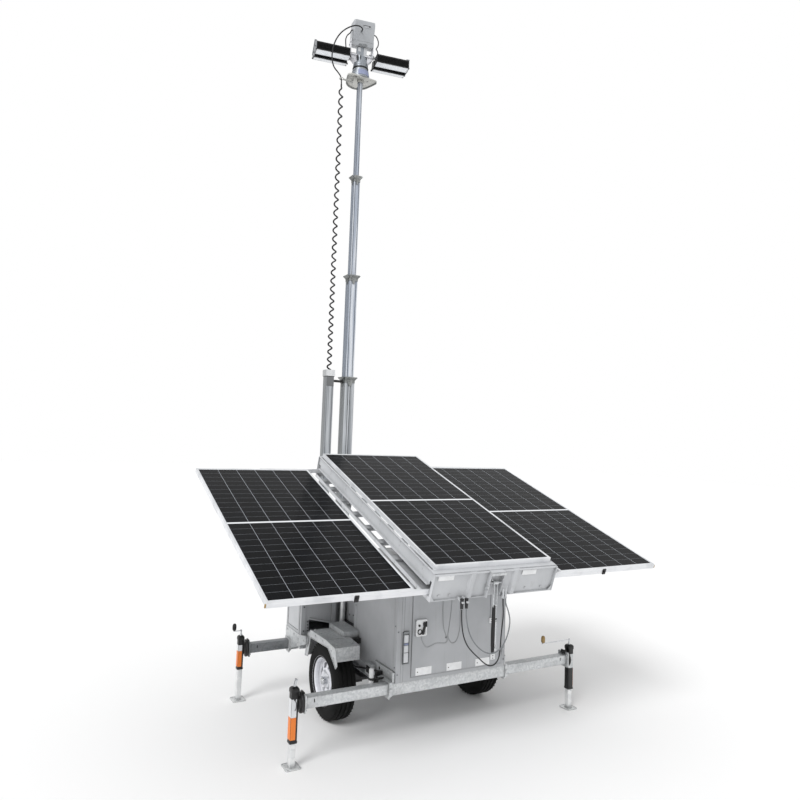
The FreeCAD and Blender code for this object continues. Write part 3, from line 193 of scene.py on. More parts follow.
def linear(hex_colour):
    parts = [int(hex_colour[k:k + 2], 16) / 255 for k in (1, 3, 5)]
    light = [c / 12.92 if c <= 0.04045 else ((c + 0.055) / 1.055) ** 2.4 for c in parts]
    return (*light, 1)


def add_node(tree, kind, sockets=None, **options):
    node = tree.nodes.new(kind)
    for option, value in options.items():
        setattr(node, option, value)
    for socket, value in (sockets or {}).items():
        if isinstance(value, bpy.types.NodeSocket):
            tree.links.new(value, node.inputs[socket])
        else:
            node.inputs[socket].default_value = value
    return node


def new_material(name):
    material = bpy.data.materials.new(name)
    material.use_nodes = True
    tree = material.node_tree
    tree.nodes.clear()
    return material, tree


def close_material(tree, sockets):
    shader = add_node(tree, "ShaderNodeBsdfPrincipled", sockets)
    add_node(tree, "ShaderNodeOutputMaterial", {"Surface": shader.outputs[0]})
    return shader


def ramp(tree, value, low, high, out_low=0, out_high=1):
    """Value mapped from one span to another, and held at its ends."""
    return add_node(tree, "ShaderNodeMapRange", {"Value": value, "From Min": low, "From Max": high,
                                                 "To Min": out_low, "To Max": out_high}).outputs[0]


def mixed(tree, factor, first, second, blend="MIX"):
    """Two colours, one laid over the other by a factor."""
    return add_node(tree, "ShaderNodeMix", {0: factor, 6: first, 7: second}, data_type="RGBA",
                    blend_type=blend).outputs[2]


def maths(tree, operation, first, second=0, third=0):
    return add_node(tree, "ShaderNodeMath", {0: first, 1: second, 2: third}, operation=operation).outputs[0]


def in_place(tree, stretch=(1, 1, 1)):
    """Object coordinates, stretched along the axes."""
    where = add_node(tree, "ShaderNodeTexCoord")
    return add_node(tree, "ShaderNodeMapping", {"Vector": where.outputs["Object"],
                                                "Scale": stretch}).outputs[0]


def noise(tree, where, grain_mm, detail=3):
    """Noise whose lumps are about grain_mm across."""
    return add_node(tree, "ShaderNodeTexNoise",
                    {"Vector": where, "Scale": 1000 / grain_mm, "Detail": detail}).outputs[0]


def bumped(tree, height, depth_mm, strength=1):
    return add_node(tree, "ShaderNodeBump", {"Height": height, "Distance": depth_mm * MM,
                                             "Strength": strength}).outputs[0]


# %% [markdown]
# Materials. Each one carries the grain, stain or wear that its real one shows, at its real scale; most also
# carry painted shade in their corners.

# %% Materials
def paint_corner_shade(tree, body, reach_mm, span, share, colour):
    """Painted shade where other surfaces stand close: within its reach the darkening rises to its full share.
    """
    near = add_node(tree, "ShaderNodeAmbientOcclusion", {"Distance": reach_mm * MM}, samples=4)
    return mixed(tree, ramp(tree, near.outputs["AO"], *span, share, 0), body, linear(colour))


def painted(name, colour, shade, rough=0.42, peel_mm=4, corner_shade_share=0.5, metallic=0):
    """Coated sheet: orange peel, faint cloudiness, painted shade in the corners, and streaks."""
    material, tree = new_material(name)
    where = in_place(tree)
    clouds = ramp(tree, noise(tree, where, 260, 4), 0.35, 0.65)
    body = mixed(tree, clouds, linear(colour), linear(shade))
    # Painted shade: darker where other surfaces stand close
    body = paint_corner_shade(tree, body, 50, (0.25, 0.85), corner_shade_share, "#5A5A57")
    streak = noise(tree, in_place(tree, (1, 1, 0.06)), 22, 5)
    body = mixed(tree, ramp(tree, streak, 0.58, 0.78, 0, 0.16), body, linear("#77756F"))
    peel = noise(tree, where, peel_mm, 2)
    dull = ramp(tree, noise(tree, where, 60), 0.3, 0.7, rough - 0.06, rough + 0.08)
    close_material(tree, {"Base Color": body, "Metallic": metallic, "Roughness": dull,
                          "Normal": bumped(tree, peel, 0.05, 0.5)})
    return material


def galvanised(name, colour, shade, rough=0.46, spangle_mm=14, metallic=0.7, stain=0.4):
    """Zinc-dipped steel: spangle, dull patches, grey runs, and painted shade in its corners."""
    material, tree = new_material(name)
    where = in_place(tree)
    cells = add_node(tree, "ShaderNodeTexVoronoi", {"Vector": where, "Scale": 1000 / spangle_mm})
    grey = add_node(tree, "ShaderNodeRGBToBW", {0: cells.outputs["Color"]}).outputs[0]
    body = mixed(tree, ramp(tree, grey, 0.2, 0.8), linear(shade), linear(colour))
    patches = ramp(tree, noise(tree, in_place(tree, (0.35, 0.35, 1)), 60, 6), 0.45, 0.72, 0, stain)
    body = mixed(tree, patches, body, linear("#96989A"))
    # Painted shade: darker where other surfaces stand close
    body = paint_corner_shade(tree, body, 30, (0.3, 0.9), 0.55, "#4C4B48")
    close_material(tree, {"Base Color": body, "Metallic": metallic,
                          "Roughness": ramp(tree, grey, 0, 1, rough - 0.08, rough + 0.1),
                          "Normal": bumped(tree, noise(tree, where, 9), 0.12, 0.4)})
    return material


def drawn_metal(name, colour, shade, rough=0.34, stretch=(1, 1, 0.02), grain_mm=5, metallic=0.85):
    """Extruded or drawn metal: fine lines along its length and faint stains across them."""
    material, tree = new_material(name)
    lines = noise(tree, in_place(tree, stretch), grain_mm, 5)
    where = in_place(tree)
    body = mixed(tree, ramp(tree, lines, 0.35, 0.65), linear(shade), linear(colour))
    stains = ramp(tree, noise(tree, where, 180, 5), 0.5, 0.75, 0, 0.35)
    body = mixed(tree, stains, body, linear("#7C828A"))
    close_material(tree, {"Base Color": body, "Metallic": metallic,
                          "Roughness": ramp(tree, lines, 0.3, 0.7, rough - 0.06, rough + 0.1),
                          "Normal": bumped(tree, lines, 0.03, 0.5)})
    return material


def extruded(name, bright, streak, dull, rough=0.36, streak_mm=26, metallic=0.4):
    """Aluminium extrusion: long streaks, painted shade in the grooves, and painted shade on the faces turned
    towards -X.
    """
    material, tree = new_material(name)
    lines = noise(tree, in_place(tree, (1, 1, 0.03)), streak_mm, 4)
    body = mixed(tree, ramp(tree, lines, 0.42, 0.60), linear(streak), linear(bright))
    fine = noise(tree, in_place(tree, (1, 1, 0.02)), 5, 4)
    body = mixed(tree, ramp(tree, fine, 0.5, 0.7, 0, 0.35), body, linear(streak))
    # Painted shade: faces turned towards -X take the darker last colour
    facing = add_node(tree, "ShaderNodeTexCoord").outputs["Normal"]
    left = add_node(tree, "ShaderNodeSeparateXYZ", {0: facing}).outputs[0]
    body = mixed(tree, ramp(tree, left, -0.4, -0.9), body, linear(dull))
    # Painted shade in the grooves and corners
    body = paint_corner_shade(tree, body, 12, (0.45, 0.95), 0.75, "#3C4044")
    close_material(tree, {"Base Color": body, "Metallic": metallic,
                          "Roughness": ramp(tree, fine, 0.3, 0.7, rough - 0.05, rough + 0.08),
                          "Normal": bumped(tree, fine, 0.03, 0.5)})
    return material


def moulded(name, colour, shade, rough=0.5, grain_mm=1.2, depth_mm=0.05, coat=0):
    """Rubber or moulded plastic: fine leathery grain and faint cloudiness."""
    material, tree = new_material(name)
    where = in_place(tree)
    body = mixed(tree, ramp(tree, noise(tree, where, 40), 0.35, 0.65), linear(colour), linear(shade))
    close_material(tree, {"Base Color": body, "Roughness": rough, "Coat Weight": coat,
                          "Normal": bumped(tree, noise(tree, where, grain_mm), depth_mm, 0.7)})
    return material


# Solar laminate: columns and rows of half cells, the strip between its halves
CELL_COLUMNS = 6
CELL_ROWS = 12
CELLS_HALF_WIDTH = 503
CELLS_FROM = 17
CELLS_TO = 2077
MIDDLE_STRIP = 22
COLUMN_GAP = 2.6
ROW_GAP = 1.3
BUSBARS = 9


def laminate(name, x_middle, station):
    """Dark cells under glass, drawn in the panel's own level frame."""
    material, tree = new_material(name)
    coords = add_node(tree, "ShaderNodeTexCoord")
    # From the model's frame back to the panel's: first the array's hinge line, then level it
    moved = add_node(tree, "ShaderNodeVectorMath",
                     {0: coords.outputs["Object"], 1: (0, ORIGIN_STATION * MM, -ARRAY_HEIGHT * MM)},
                     operation="ADD")
    level = add_node(tree, "ShaderNodeMapping",
                     {"Vector": moved.outputs[0], "Rotation": (-TILT, 0, 0), "Scale": (1000, 1000, 1000)})
    split = add_node(tree, "ShaderNodeSeparateXYZ", {0: level.outputs[0]})
    across = maths(tree, "ADD", split.outputs[0], CELLS_HALF_WIDTH - x_middle)
    along = maths(tree, "SUBTRACT", split.outputs[1], station)
    half_length = (CELLS_TO - CELLS_FROM - MIDDLE_STRIP) / 2
    upper = maths(tree, "GREATER_THAN", along, PANEL_LENGTH / 2)
    lower_start = maths(tree, "SUBTRACT", along, CELLS_FROM)
    upper_start = maths(tree, "SUBTRACT", along, CELLS_FROM + half_length + MIDDLE_STRIP)
    in_half = add_node(tree, "ShaderNodeMix", {0: upper, 2: lower_start, 3: upper_start}).outputs[0]

    def gap_lines(value, pitch, gap):
        """One where a value lies in the gap between two cells."""
        turn = maths(tree, "FRACT", maths(tree, "DIVIDE", value, pitch))
        off = maths(tree, "ABSOLUTE", maths(tree, "SUBTRACT", turn, 0.5))
        return maths(tree, "GREATER_THAN", off, 0.5 - gap / pitch / 2)

    column = 2 * CELLS_HALF_WIDTH / CELL_COLUMNS
    row = half_length / CELL_ROWS
    between = maths(tree, "MAXIMUM", gap_lines(across, column, COLUMN_GAP),
                    maths(tree, "MULTIPLY", gap_lines(in_half, row, ROW_GAP), 0.6))

    def beyond(value, half):
        """One where a value lies outside zero to twice the half."""
        return maths(tree, "GREATER_THAN",
                     maths(tree, "ABSOLUTE", maths(tree, "SUBTRACT", value, half)), half)

    outside = maths(tree, "MAXIMUM", beyond(across, CELLS_HALF_WIDTH), beyond(in_half, half_length / 2))
    wires = gap_lines(across, column / BUSBARS, 0.7)
    fingers = gap_lines(in_half, 6, 0.4)
    where = in_place(tree)
    patch = noise(tree, where, 130, 2)
    cell = mixed(tree, ramp(tree, patch, 0.3, 0.7), linear("#020203"), linear("#06070B"))
    cell = mixed(tree, maths(tree, "MULTIPLY", wires, 0.08), cell, linear("#6E747E"))
    cell = mixed(tree, maths(tree, "MULTIPLY", fingers, 0.04), cell, linear("#5B6068"))
    face = mixed(tree, between, cell, linear("#B4B9C0"))
    face = mixed(tree, outside, face, linear("#E4E6E9"))
    dust = ramp(tree, noise(tree, where, 300, 6), 0.45, 0.75, 0, 0.006)
    face = mixed(tree, dust, face, linear("#A7A59E"))
    close_material(tree, {"Base Color": face, "Roughness": 0.2, "Specular IOR Level": 0.05})
    return material


def tyre_rubber(name):
    material, tree = new_material(name)
    where = in_place(tree)
    dusty = ramp(tree, noise(tree, where, 90, 5), 0.45, 0.75, 0, 0.35)
    body = mixed(tree, dusty, linear("#070707"), linear("#151514"))
    close_material(tree, {"Base Color": body, "Roughness": 0.78, "Specular IOR Level": 0.25,
                          "Normal": bumped(tree, noise(tree, where, 3), 0.1, 0.6)})
    return material


GREY_PAINT = painted("grey_paint", "#B3B5B8", "#A8AAAD")
PALE_PAINT = painted("pale_paint", "#C6C8CB", "#BBBDC0", rough=0.40, corner_shade_share=0.4)
WHITE_PAINT = painted("white_enamel", "#E6E7EC", "#DADBE1", rough=0.28, corner_shade_share=0.5)
BLACK_PAINT = painted("black_paint", "#161617", "#1F1F20", rough=0.32, corner_shade_share=0.1)
ORANGE_SHEET = painted("orange_sheeting", "#E8822F", "#DC7222", rough=0.35, corner_shade_share=0.2)
SILVER_SHEET = painted("silver_sheeting", "#DFE1E3", "#D2D4D7", rough=0.35, corner_shade_share=0.2)
GALVANISED = galvanised("galvanised_steel", "#DADCDD", "#C3C6C8", metallic=0.55, stain=0.35)
DARK_GALVANISED = galvanised("dull_zinc", "#8B8E90", "#777A7D", stain=0.5)
ZINC = galvanised("zinc_plate", "#ECEDED", "#DEE0E1", rough=0.34, spangle_mm=40, metallic=0.6, stain=0.15)
CHROME = drawn_metal("chrome_plate", "#DADCDE", "#C9CBCE", rough=0.14, metallic=1)
ALUMINIUM = drawn_metal("frame_aluminium", "#ECEDEF", "#DFE1E4", stretch=(0.02, 1, 1), metallic=0.35)
# The last colour of each extruded() material is painted shade for its faces turned towards -X
MAST_METAL = extruded("mast_aluminium", "#E6EAF0", "#AEB6C3", "#7E8692")
BASE_METAL = extruded("post_aluminium", "#C6CACE", "#9DA1A6", "#848789")
# The pan's white paint darkened to cream grey: painted shade on its underside
PAN_SHADED_PAINT = painted("pan_paint_with_painted_shade", "#B7B7B3", "#A9A9A4", rough=0.38, corner_shade_share=0.6)
BOX_PAINT = painted("drivers_box_paint", "#AEB1B4", "#A3A6AA", rough=0.36, corner_shade_share=0.6)
DRUM_METAL = drawn_metal("drum_aluminium", "#A3A8AE", "#8E949B", rough=0.4, metallic=0.5)
LAMP_END_METAL = drawn_metal("lamp_bracket_steel", "#9A9C9F", "#84878B", rough=0.4, metallic=0.6)
BRIGHT_BAND = extruded("bright_band", "#F2F3F4", "#DDDFE1", "#A9ABAC", metallic=0.2)
POST_PLATE = painted("post_plate", "#77797B", "#6C6E70")
COLLAR_METAL = extruded("collar_casting", "#A8AAA9", "#898C8B", "#5E6160", streak_mm=60)
BLACK_RUBBER = moulded("black_rubber", "#141416", "#1E1E20", rough=0.48)
BLACK_CASTING = moulded("black_casting", "#070708", "#0E0E0F", rough=0.42, grain_mm=2)
GREY_LEAD = moulded("grey_lead", "#6E7174", "#7B7E81", rough=0.5)
PALE_LEAD = moulded("pale_lead", "#A2A4A6", "#9A9C9E", rough=0.5)
WHITE_PLASTIC = moulded("white_plastic", "#ECEDEE", "#E2E3E4", rough=0.38)
BLUE_TAPE = moulded("blue_tape", "#8F97B4", "#868EAB", rough=0.4)
TAN_PLASTIC = moulded("tan_plastic", "#A98C58", "#957A48", rough=0.45)
BATTERY_CASE = moulded("battery_case", "#2A2B2E", "#333438", rough=0.55)
LENS = moulded("lamp_lens", "#E9ECF0", "#DDE1E6", rough=0.12, grain_mm=6, depth_mm=0.3, coat=0.6)
TYRE = tyre_rubber("tyre_rubber")
LAMINATE_CENTRE = laminate("laminate_centre", 0, 0)
LAMINATE_LEFT = laminate("laminate_left", -SIDE_MIDDLE, SIDE_SHIFT)
LAMINATE_RIGHT = laminate("laminate_right", SIDE_MIDDLE, SIDE_SHIFT)
print("materials:", len(bpy.data.materials))

# %% [markdown]
# Every sheet, bracket, bolt and casting below is drawn from a few kinds of shape: a block, an
# outline pressed along an axis, a profile turned about an axis, and a tube along a line. Each is
# only corners and faces in millimetres. One function joins such shapes in a single mesh, sets it
# down in its frame, rounds its edges a little, as real bent or cast edges are, and lets it ride on
# the body of the model that carries it.

# %% Shapes


def block(x0, x1, y0, y1, z0, z1):
    points = [(x, y, z) for z in (z0, z1) for y in (y0, y1) for x in (x0, x1)]
    faces = [(0, 2, 3, 1), (4, 5, 7, 6), (0, 1, 5, 4), (2, 6, 7, 3), (0, 4, 6, 2), (1, 3, 7, 5)]
    return points, faces


def spread(axis, a, b, along):
    """Point from two places in an outline's plane and one along the axis across it."""
    return {"x": (along, a, b), "y": (a, along, b), "z": (a, b, along)}[axis]


def pressed(outline, axis, low, high):
    """Solid of an outline drawn between two places on an axis."""
    n = len(outline)
    points = [spread(axis, a, b, along) for along in (low, high) for a, b in outline]
    faces = [(k, (k + 1) % n, (k + 1) % n + n, k + n) for k in range(n)]
    return points, faces + [tuple(reversed(range(n))), tuple(range(n, 2 * n))]


def hollow(outer, inner, axis, low, high):
    """Tube between two outlines with as many corners each."""
    n = len(outer)
    points = [spread(axis, a, b, along) for along in (low, high) for line in (outer, inner) for a, b in line]
    faces = []
    for k in range(n):
        m = (k + 1) % n
        faces += [(k, m, m + 2 * n, k + 2 * n), (k + n, m + n, m + 3 * n, k + 3 * n),
                  (k, m, m + n, k + n), (k + 2 * n, m + 2 * n, m + 3 * n, k + 3 * n)]
    return points, faces


def rounded(half_a, half_b, radius, middle=(0, 0), steps=4):
    """Outline of a rectangle with round corners."""
    outline = []
    for quarter, (sa, sb) in enumerate(((1, 1), (-1, 1), (-1, -1), (1, -1))):
        for k in range(steps + 1):
            angle = (quarter + k / steps) * math.pi / 2
            outline.append((middle[0] + sa * (half_a - radius) + radius * math.cos(angle),
                            middle[1] + sb * (half_b - radius) + radius * math.sin(angle)))
    return outline


def circle(radius, middle=(0, 0), sides=24):
    return [(middle[0] + radius * math.cos(2 * math.pi * k / sides),
             middle[1] + radius * math.sin(2 * math.pi * k / sides)) for k in range(sides)]


def turned(profile, axis, middle=(0, 0), sides=24, closed=False):
    """Profile of (radius, place along the axis) turned about it; open ends are capped flat."""
    points, faces = [], []
    for radius, along in profile:
        points += [spread(axis, a, b, along) for a, b in circle(radius, middle, sides)]
    rows = len(profile)
    for row in range(rows if closed else rows - 1):
        for k in range(sides):
            m, top = (k + 1) % sides, (row + 1) % rows * sides
            faces.append((row * sides + k, row * sides + m, top + m, top + k))
    if not closed:
        faces.append(tuple(range(sides)))
        faces.append(tuple(range((rows - 1) * sides, rows * sides)))
    return points, faces


def rod(axis, middle, radius, low, high, sides=16):
    return turned(((radius, low), (radius, high)), axis, middle, sides)


def run_tube(line, radius, sides=8):
    """Tube along a line of points, its sides kept from twisting from one point to the next."""
    line = [Vector(p) for p in line]
    points, faces, side = [], [], None
    for k, here in enumerate(line):
        ahead = (line[min(k + 1, len(line) - 1)] - line[max(k - 1, 0)]).normalized()
        if side is None:
            side = ahead.orthogonal().normalized()
        side = (side - ahead * side.dot(ahead)).normalized()
        other = ahead.cross(side)
        for step in range(sides):
            angle = 2 * math.pi * step / sides
            points.append(tuple(here + (side * math.cos(angle) + other * math.sin(angle)) * radius))
    for k in range(len(line) - 1):
        for step in range(sides):
            m = (step + 1) % sides
            faces.append((k * sides + step, k * sides + m, (k + 1) * sides + m, (k + 1) * sides + step))
    last = (len(line) - 1) * sides
    return points, faces + [tuple(range(sides)), tuple(range(last, last + sides))]


def bolts(places, axis, low, high, radius=7, sides=6):
    """Hexagon heads at several places on a plane across an axis."""
    return [rod(axis, place, radius, low, high, sides) for place in places]


def placed(shape, matrix):
    points, faces = shape
    return [tuple(matrix @ Vector(p)) for p in points], faces


def mirrored(shapes):
    return [([(-x, y, z) for x, y, z in points], faces) for points, faces in shapes]


def piece(name, shapes, material, body, frame=TRAILER, bevel=0, crease=35, stands_for=()):
    """Shapes joined in one mesh that rides on a body, with its sharp edges softened."""
    points, faces = [], []
    for shape_points, shape_faces in shapes:
        start = len(points)
        points += [frame @ Vector(p) for p in shape_points]
        faces += [tuple(start + k for k in face) for face in shape_faces]
    mesh = bpy.data.meshes.new(name)
    mesh.from_pydata(points, [], faces)
    work = bmesh.new()
    work.from_mesh(mesh)
    bmesh.ops.recalc_face_normals(work, faces=work.faces)
    for face in work.faces:
        face.smooth = True
    work.to_mesh(mesh)
    work.free()
    mesh.set_sharp_from_angle(angle=math.radians(crease))
    mesh.materials.append(material)
    thing = bpy.data.objects.new(name, mesh)
    bpy.context.scene.collection.objects.link(thing)
    if bevel:
        soften = thing.modifiers.new("soft_edges", "BEVEL")
        soften.width = bevel * MM
        soften.segments = 2
        soften.angle_limit = math.radians(crease)
        soften.harden_normals = True
    if body:
        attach(thing, body)
    if stands_for:
        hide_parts(*stands_for)
    return thing

# %% [markdown]
# Cords first. Each free lead is one smooth NURBS curve through the same points as in the
# construction, with a round section. The supply cord beside the mast is wound: its turns follow
# the line of a straight route, a little closer together at the bottom, where its own weight
# lets it rest.

# %% Leads
# Routes as in the construction: (x, station, height)
LEAD_HEAD = ((-46.54, 2507.31, 6714.65), (-55.8, 2459.69, 6702.56), (-80, 2432, 6702), (-125, 2412, 6698),
             (-187, 2410, 6680), (-258, 2424, 6635), (-325, 2428, 6568), (-374, 2448, 6484),
             (-394, 2482, 6392), (-378, 2528, 6304), (-338, 2564, 6246), (-276, 2590, 6222),
             (-222, 2600, 6180), (-222, 2600, 6105))
LEAD_DARK = ((-303, -22, 1115), (-303, -22, 1070), (-300, -26, 1003), (-289, -32, 930), (-262, -42, 868),
             (-220, -52, 822), (-172, -58, 780), (-128, -60, 742), (-82, -62, 716), (-34, -62, 722),
             (2, -60, 762), (14, -56, 828), (19, -54, 905), (25, -56, 980), (36, -52, 1040),
             (48, -36, 1088), (54, -24, 1125), (54, -24, 1160))
LEAD_GREY = ((-264, -22, 1115), (-264, -22, 1070), (-256, -27, 1005), (-236, -35, 933), (-192, -45, 866),
             (-132, -56, 816), (-64, -66, 798), (0, -71, 822), (46, -69, 872), (78, -64, 935),
             (95, -58, 1005), (92, -46, 1060), (83, -33, 1100), (77, -24, 1128), (77, -24, 1160))
LEADS = (
    ("head_lead", 7, "mast_4", BLACK_RUBBER, LEAD_HEAD),
    ("dark_lead", 4.5, "array", BLACK_RUBBER, LEAD_DARK),
    ("grey_lead", 4.5, "array", GREY_LEAD, LEAD_GREY),
)


def lead_curve(name, route, radius, material):
    curve = bpy.data.curves.new(name, "CURVE")
    curve.dimensions = "3D"
    spline = curve.splines.new("NURBS")
    spline.points.add(len(route) - 1)
    for point, place in zip(spline.points, route):
        point.co = (*at(*place), 1)
    spline.order_u = 3
    spline.use_endpoint_u = True
    spline.resolution_u = 8
    curve.bevel_depth = radius * MM
    curve.bevel_resolution = 3
    curve.use_fill_caps = True
    curve.materials.append(material)
    thing = bpy.data.objects.new(name, curve)
    bpy.context.scene.collection.objects.link(thing)
    return thing


def route_points(thing):
    """Points along a curve's own line, read without its section."""
    bare = thing.data.copy()
    bare.bevel_depth = 0
    holder = bpy.data.objects.new("route", bare)
    mesh = bpy.data.meshes.new_from_object(holder)
    points = [v.co.copy() for v in mesh.vertices]
    bpy.data.objects.remove(holder)
    bpy.data.meshes.remove(mesh)
    return points


for name, radius, body, material, route in LEADS:
    lead = lead_curve(name + "_skin", route, radius, material)
    line = route_points(lead)
    if name == "head_lead":
        solid = bpy.data.objects.new(name + "_bent", bpy.data.meshes.new_from_object(lead))
        bpy.data.objects.remove(lead)
        bpy.context.scene.collection.objects.link(solid)
        solid.data.polygons.foreach_set("use_smooth", [True] * len(solid.data.polygons))
        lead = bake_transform(solid)
    else:
        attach(lead, body)
    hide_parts(name)

# %% [markdown]
# The wound cord: a coil 58 mm across of 17 mm cord. Each turn is drawn in 16 steps up a straight
# line over the cord post's axis.

# %% Wound cord
COIL_RADIUS = 20.5
CORD_RADIUS = 8.5
CURL_LOW = 2500
CURL_TOP = 6105
TAIL = 30
PITCH_LOW = 74
PITCH_HIGH = 112
STEPS_A_TURN = 16


def wound_line(low, high):
    line, z, angle = [], low, 0
    while z < high:
        reach = COIL_RADIUS * min(1, max(0, (high - TAIL - z) / 55))
        line.append((POST_X + reach * math.cos(angle), MAST_STATION + reach * math.sin(angle), z))
        share = (z - low) / (high - low)
        z += (PITCH_LOW + (PITCH_HIGH - PITCH_LOW) * share) / STEPS_A_TURN
        angle += 2 * math.pi / STEPS_A_TURN
    return line + [(POST_X, MAST_STATION, high)]


route = lead_curve("curl_route", [(POST_X, MAST_STATION, z) for z in (CURL_LOW, 4300, CURL_TOP)], 1,
                   BLACK_RUBBER)
ends = route_points(route)
bpy.data.objects.remove(route)
line = wound_line(CURL_LOW + CORD_RADIUS, CURL_TOP)
curl = piece("curly_cord_skin", [run_tube(line, CORD_RADIUS, 8)], BLACK_RUBBER, "chassis",
             stands_for=("curly_cord",))
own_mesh(curl)
print("wound cord mm:", round(sum(math.dist(a, b) for a, b in zip(line, line[1:]))))

# %% [markdown]
# The solar array. Each panel is a laminate in a frame of aluminium extrusion, cut at its corners
# and joined with pressed-in keys, so the frame shows a fine mitre and a row of drain holes. The
# housing under the middle panel is folded sheet: channels along both sides, with screws in their
# lips, and a rear wall with pressed ribs, blank plates and pivot bolts.

# %% Housing of the array
def housing_side(side):
    """Screws and brackets along one side channel, seen through the gap beside the middle panel."""
    shapes = []
    edge = side * HOUSING_HALF
    for station in range(60, 2100, 170):
        shapes += bolts([(side * 536, station)], "z", HOUSING_TOP, HOUSING_TOP + 3.5, 6)
    for station in range(120, 2100, 340):
        shapes += bolts([(station, -62), (station, -90)], "x",
                        side * 530, side * 534.5, 6)
        shapes.append(block(edge, edge + side * 3, station - 4, station + 30,
                            -237, -214))
    return shapes


shapes = housing_side(-1) + housing_side(1)
# Folded hems at the ends of the low flange, and drip lip over the rear wall
shapes.append(pressed([(-49, -41), (-56, -41), (-60, -50), (-56, -50), (-53, -45),
                       (-49, -45)], "x", -541, 541))
shapes += [block(x0, x1, -61, -45, -240, -236) for x0, x1 in ((-541, -84), (48, 541))]
# Screws in the rear wall, along its top and its foot
shapes += bolts([(x, -56) for x in range(-510, 520, 102)], "y", -52.5, -49, 5)
shapes += bolts([(-470, -205), (-380, -205), (60, -205), (290, -205), (440, -205)],
                "y", -53, -49, 8)
# Corner gussets where the end flanges meet the lower hem
for side in (-1, 1):
    shapes.append(pressed([(side * 541, -238), (side * 541, -190), (side * 505, -238)], "y",
                          -61, -57.5))
piece("housing_fittings", shapes, PALE_PAINT, "array", ARRAY, bevel=0.8)
# Blank plates riveted to the rear wall
plates = []
for x0, x1, z0, z1 in ((-504, -376, -90, -52), (227, 357, -95, -57)):
    plates.append(block(x0, x1, -52, -48.9, z0, z1))
    plates += bolts([(x, z) for x in (x0 + 7, x1 - 7) for z in (z0 + 7, z1 - 7)], "y", -53.5, -51, 3, 10)
piece("housing_plates", plates, WHITE_PLASTIC, "array", ARRAY, bevel=0.6)
# Trough: folded cheeks, the pivot's nuts and washers, and a cap at the top
trough = []
for x in (-78, 42):
    out = -1 if x < 0 else 1
    trough.append(rod("x", (-67, -165), 15, x, x + out * 3, 20))
    trough.append(rod("x", (-67, -165), 10, x, x + out * 11, 6))
trough.append(block(-82, 46, -89, -45, -45, -41))
trough.append(block(-82, 46, -89, -86, -62, -41))
trough += bolts([(-66, -205), (-66, -95), (30, -205), (30, -95)], "y", -89, -85, 5)
piece("trough_fittings", trough, GALVANISED, "array", ARRAY, bevel=0.8)
print("array housing dressed")

# %% [markdown]
# The laminates lie a little below their frames' lips. A junction box and two short tails sit
# under each laminate; from below they show between the cross members.

# %% Panels
# Panels: (name, body, middle, station, drop)
PANELS = (("centre", "array", 0, 0, 0), ("left", "left_panel", -SIDE_MIDDLE, SIDE_SHIFT, LEFT_DROP),
          ("right", "right_panel", SIDE_MIDDLE, SIDE_SHIFT, RIGHT_DROP))


def panel_trim(middle, station, drop):
    """Corner keys, drain holes' rims and the glazing bead of one frame."""
    half, top = PANEL_WIDTH / 2, -drop
    shapes = []
    bead = rounded(half - 10.5, PANEL_LENGTH / 2 - 10.5, 0.6, (middle, station + PANEL_LENGTH / 2), 1)
    inner = rounded(half - 13.5, PANEL_LENGTH / 2 - 13.5, 0.6, (middle, station + PANEL_LENGTH / 2), 1)
    shapes.append(hollow(bead, inner, "z", top - 3, top - 0.4))
    for sx in (-1, 1):
        for sy in (0, 1):
            x, y = middle + sx * (half - 5.5), station + sy * PANEL_LENGTH + (5.5 if sy == 0 else -5.5)
            shapes.append(rod("z", (x, y), 1.6, top - 0.5, top + 0.4, 8))
    # Two raised lines along each outer wall, as extruded
    for sx in (-1, 1):
        x = middle + sx * half
        shapes += [block(x, x + sx * 1.2, station + 2, station + PANEL_LENGTH - 2, top - low, top - high)
                   for low, high in ((10, 7.5), (34, 31))]
    return shapes


def junction_boxes(middle, station, drop):
    shapes = []
    for share in (0.25, 0.75):
        y, z = station + PANEL_LENGTH * share, -drop - 7
        shapes.append(pressed(rounded(52, 38, 8, (middle, y)), "z", z - 20, z + 0.2))
        shapes.append(pressed(rounded(44, 30, 6, (middle, y)), "z", z - 23, z - 19))
        for sx in (-1, 1):
            shapes.append(rod("x", (y, z - 12), 6, middle + sx * 50, middle + sx * 74, 10))
    return shapes


for name, body, middle, station, drop in PANELS:
    piece(name + "_panel_trim", panel_trim(middle, station, drop), ALUMINIUM, body, ARRAY)
    piece(name + "_junction_boxes", junction_boxes(middle, station, drop), BLACK_CASTING, body, ARRAY,
          bevel=0.8)
print("panel trims:", len(PANELS))

# %% [markdown]
# The drawer slides. Each side panel hangs between two telescopic slides: a member bolted to the
# frame's end, a runner, and a fixed channel inside the housing. The low slide of the left panel
# shows over its whole length, with bolts, a roller in its latch block and a plastic corner cap.

# %% Drawer slides
SLIDE_HEIGHT = 38


def slide_trim(side, drop):
    """Folded lips and bolts on the member below one panel's low end."""
    low, high = -drop - SLIDE_HEIGHT, -drop
    inner, outer = side * 546, side * (SIDE_MIDDLE + PANEL_WIDTH / 2)
    y0 = SIDE_SHIFT - 9.7
    x0, x1 = min(inner, outer), max(inner, outer)
    shapes = [block(x0, x1, y0 - 0.2, y0 + 1, high - 6, high - 2),
              block(x0, x1, y0 - 0.2, y0 + 1, low, low + 4)]
    places = [(x0 + 60 + k * 88, (low + high) / 2) for k in range(int((x1 - x0 - 80) / 88) + 1)]
    shapes += bolts(places, "y", y0 - 0.2, y0 + 0.5, 5.5)
    return shapes


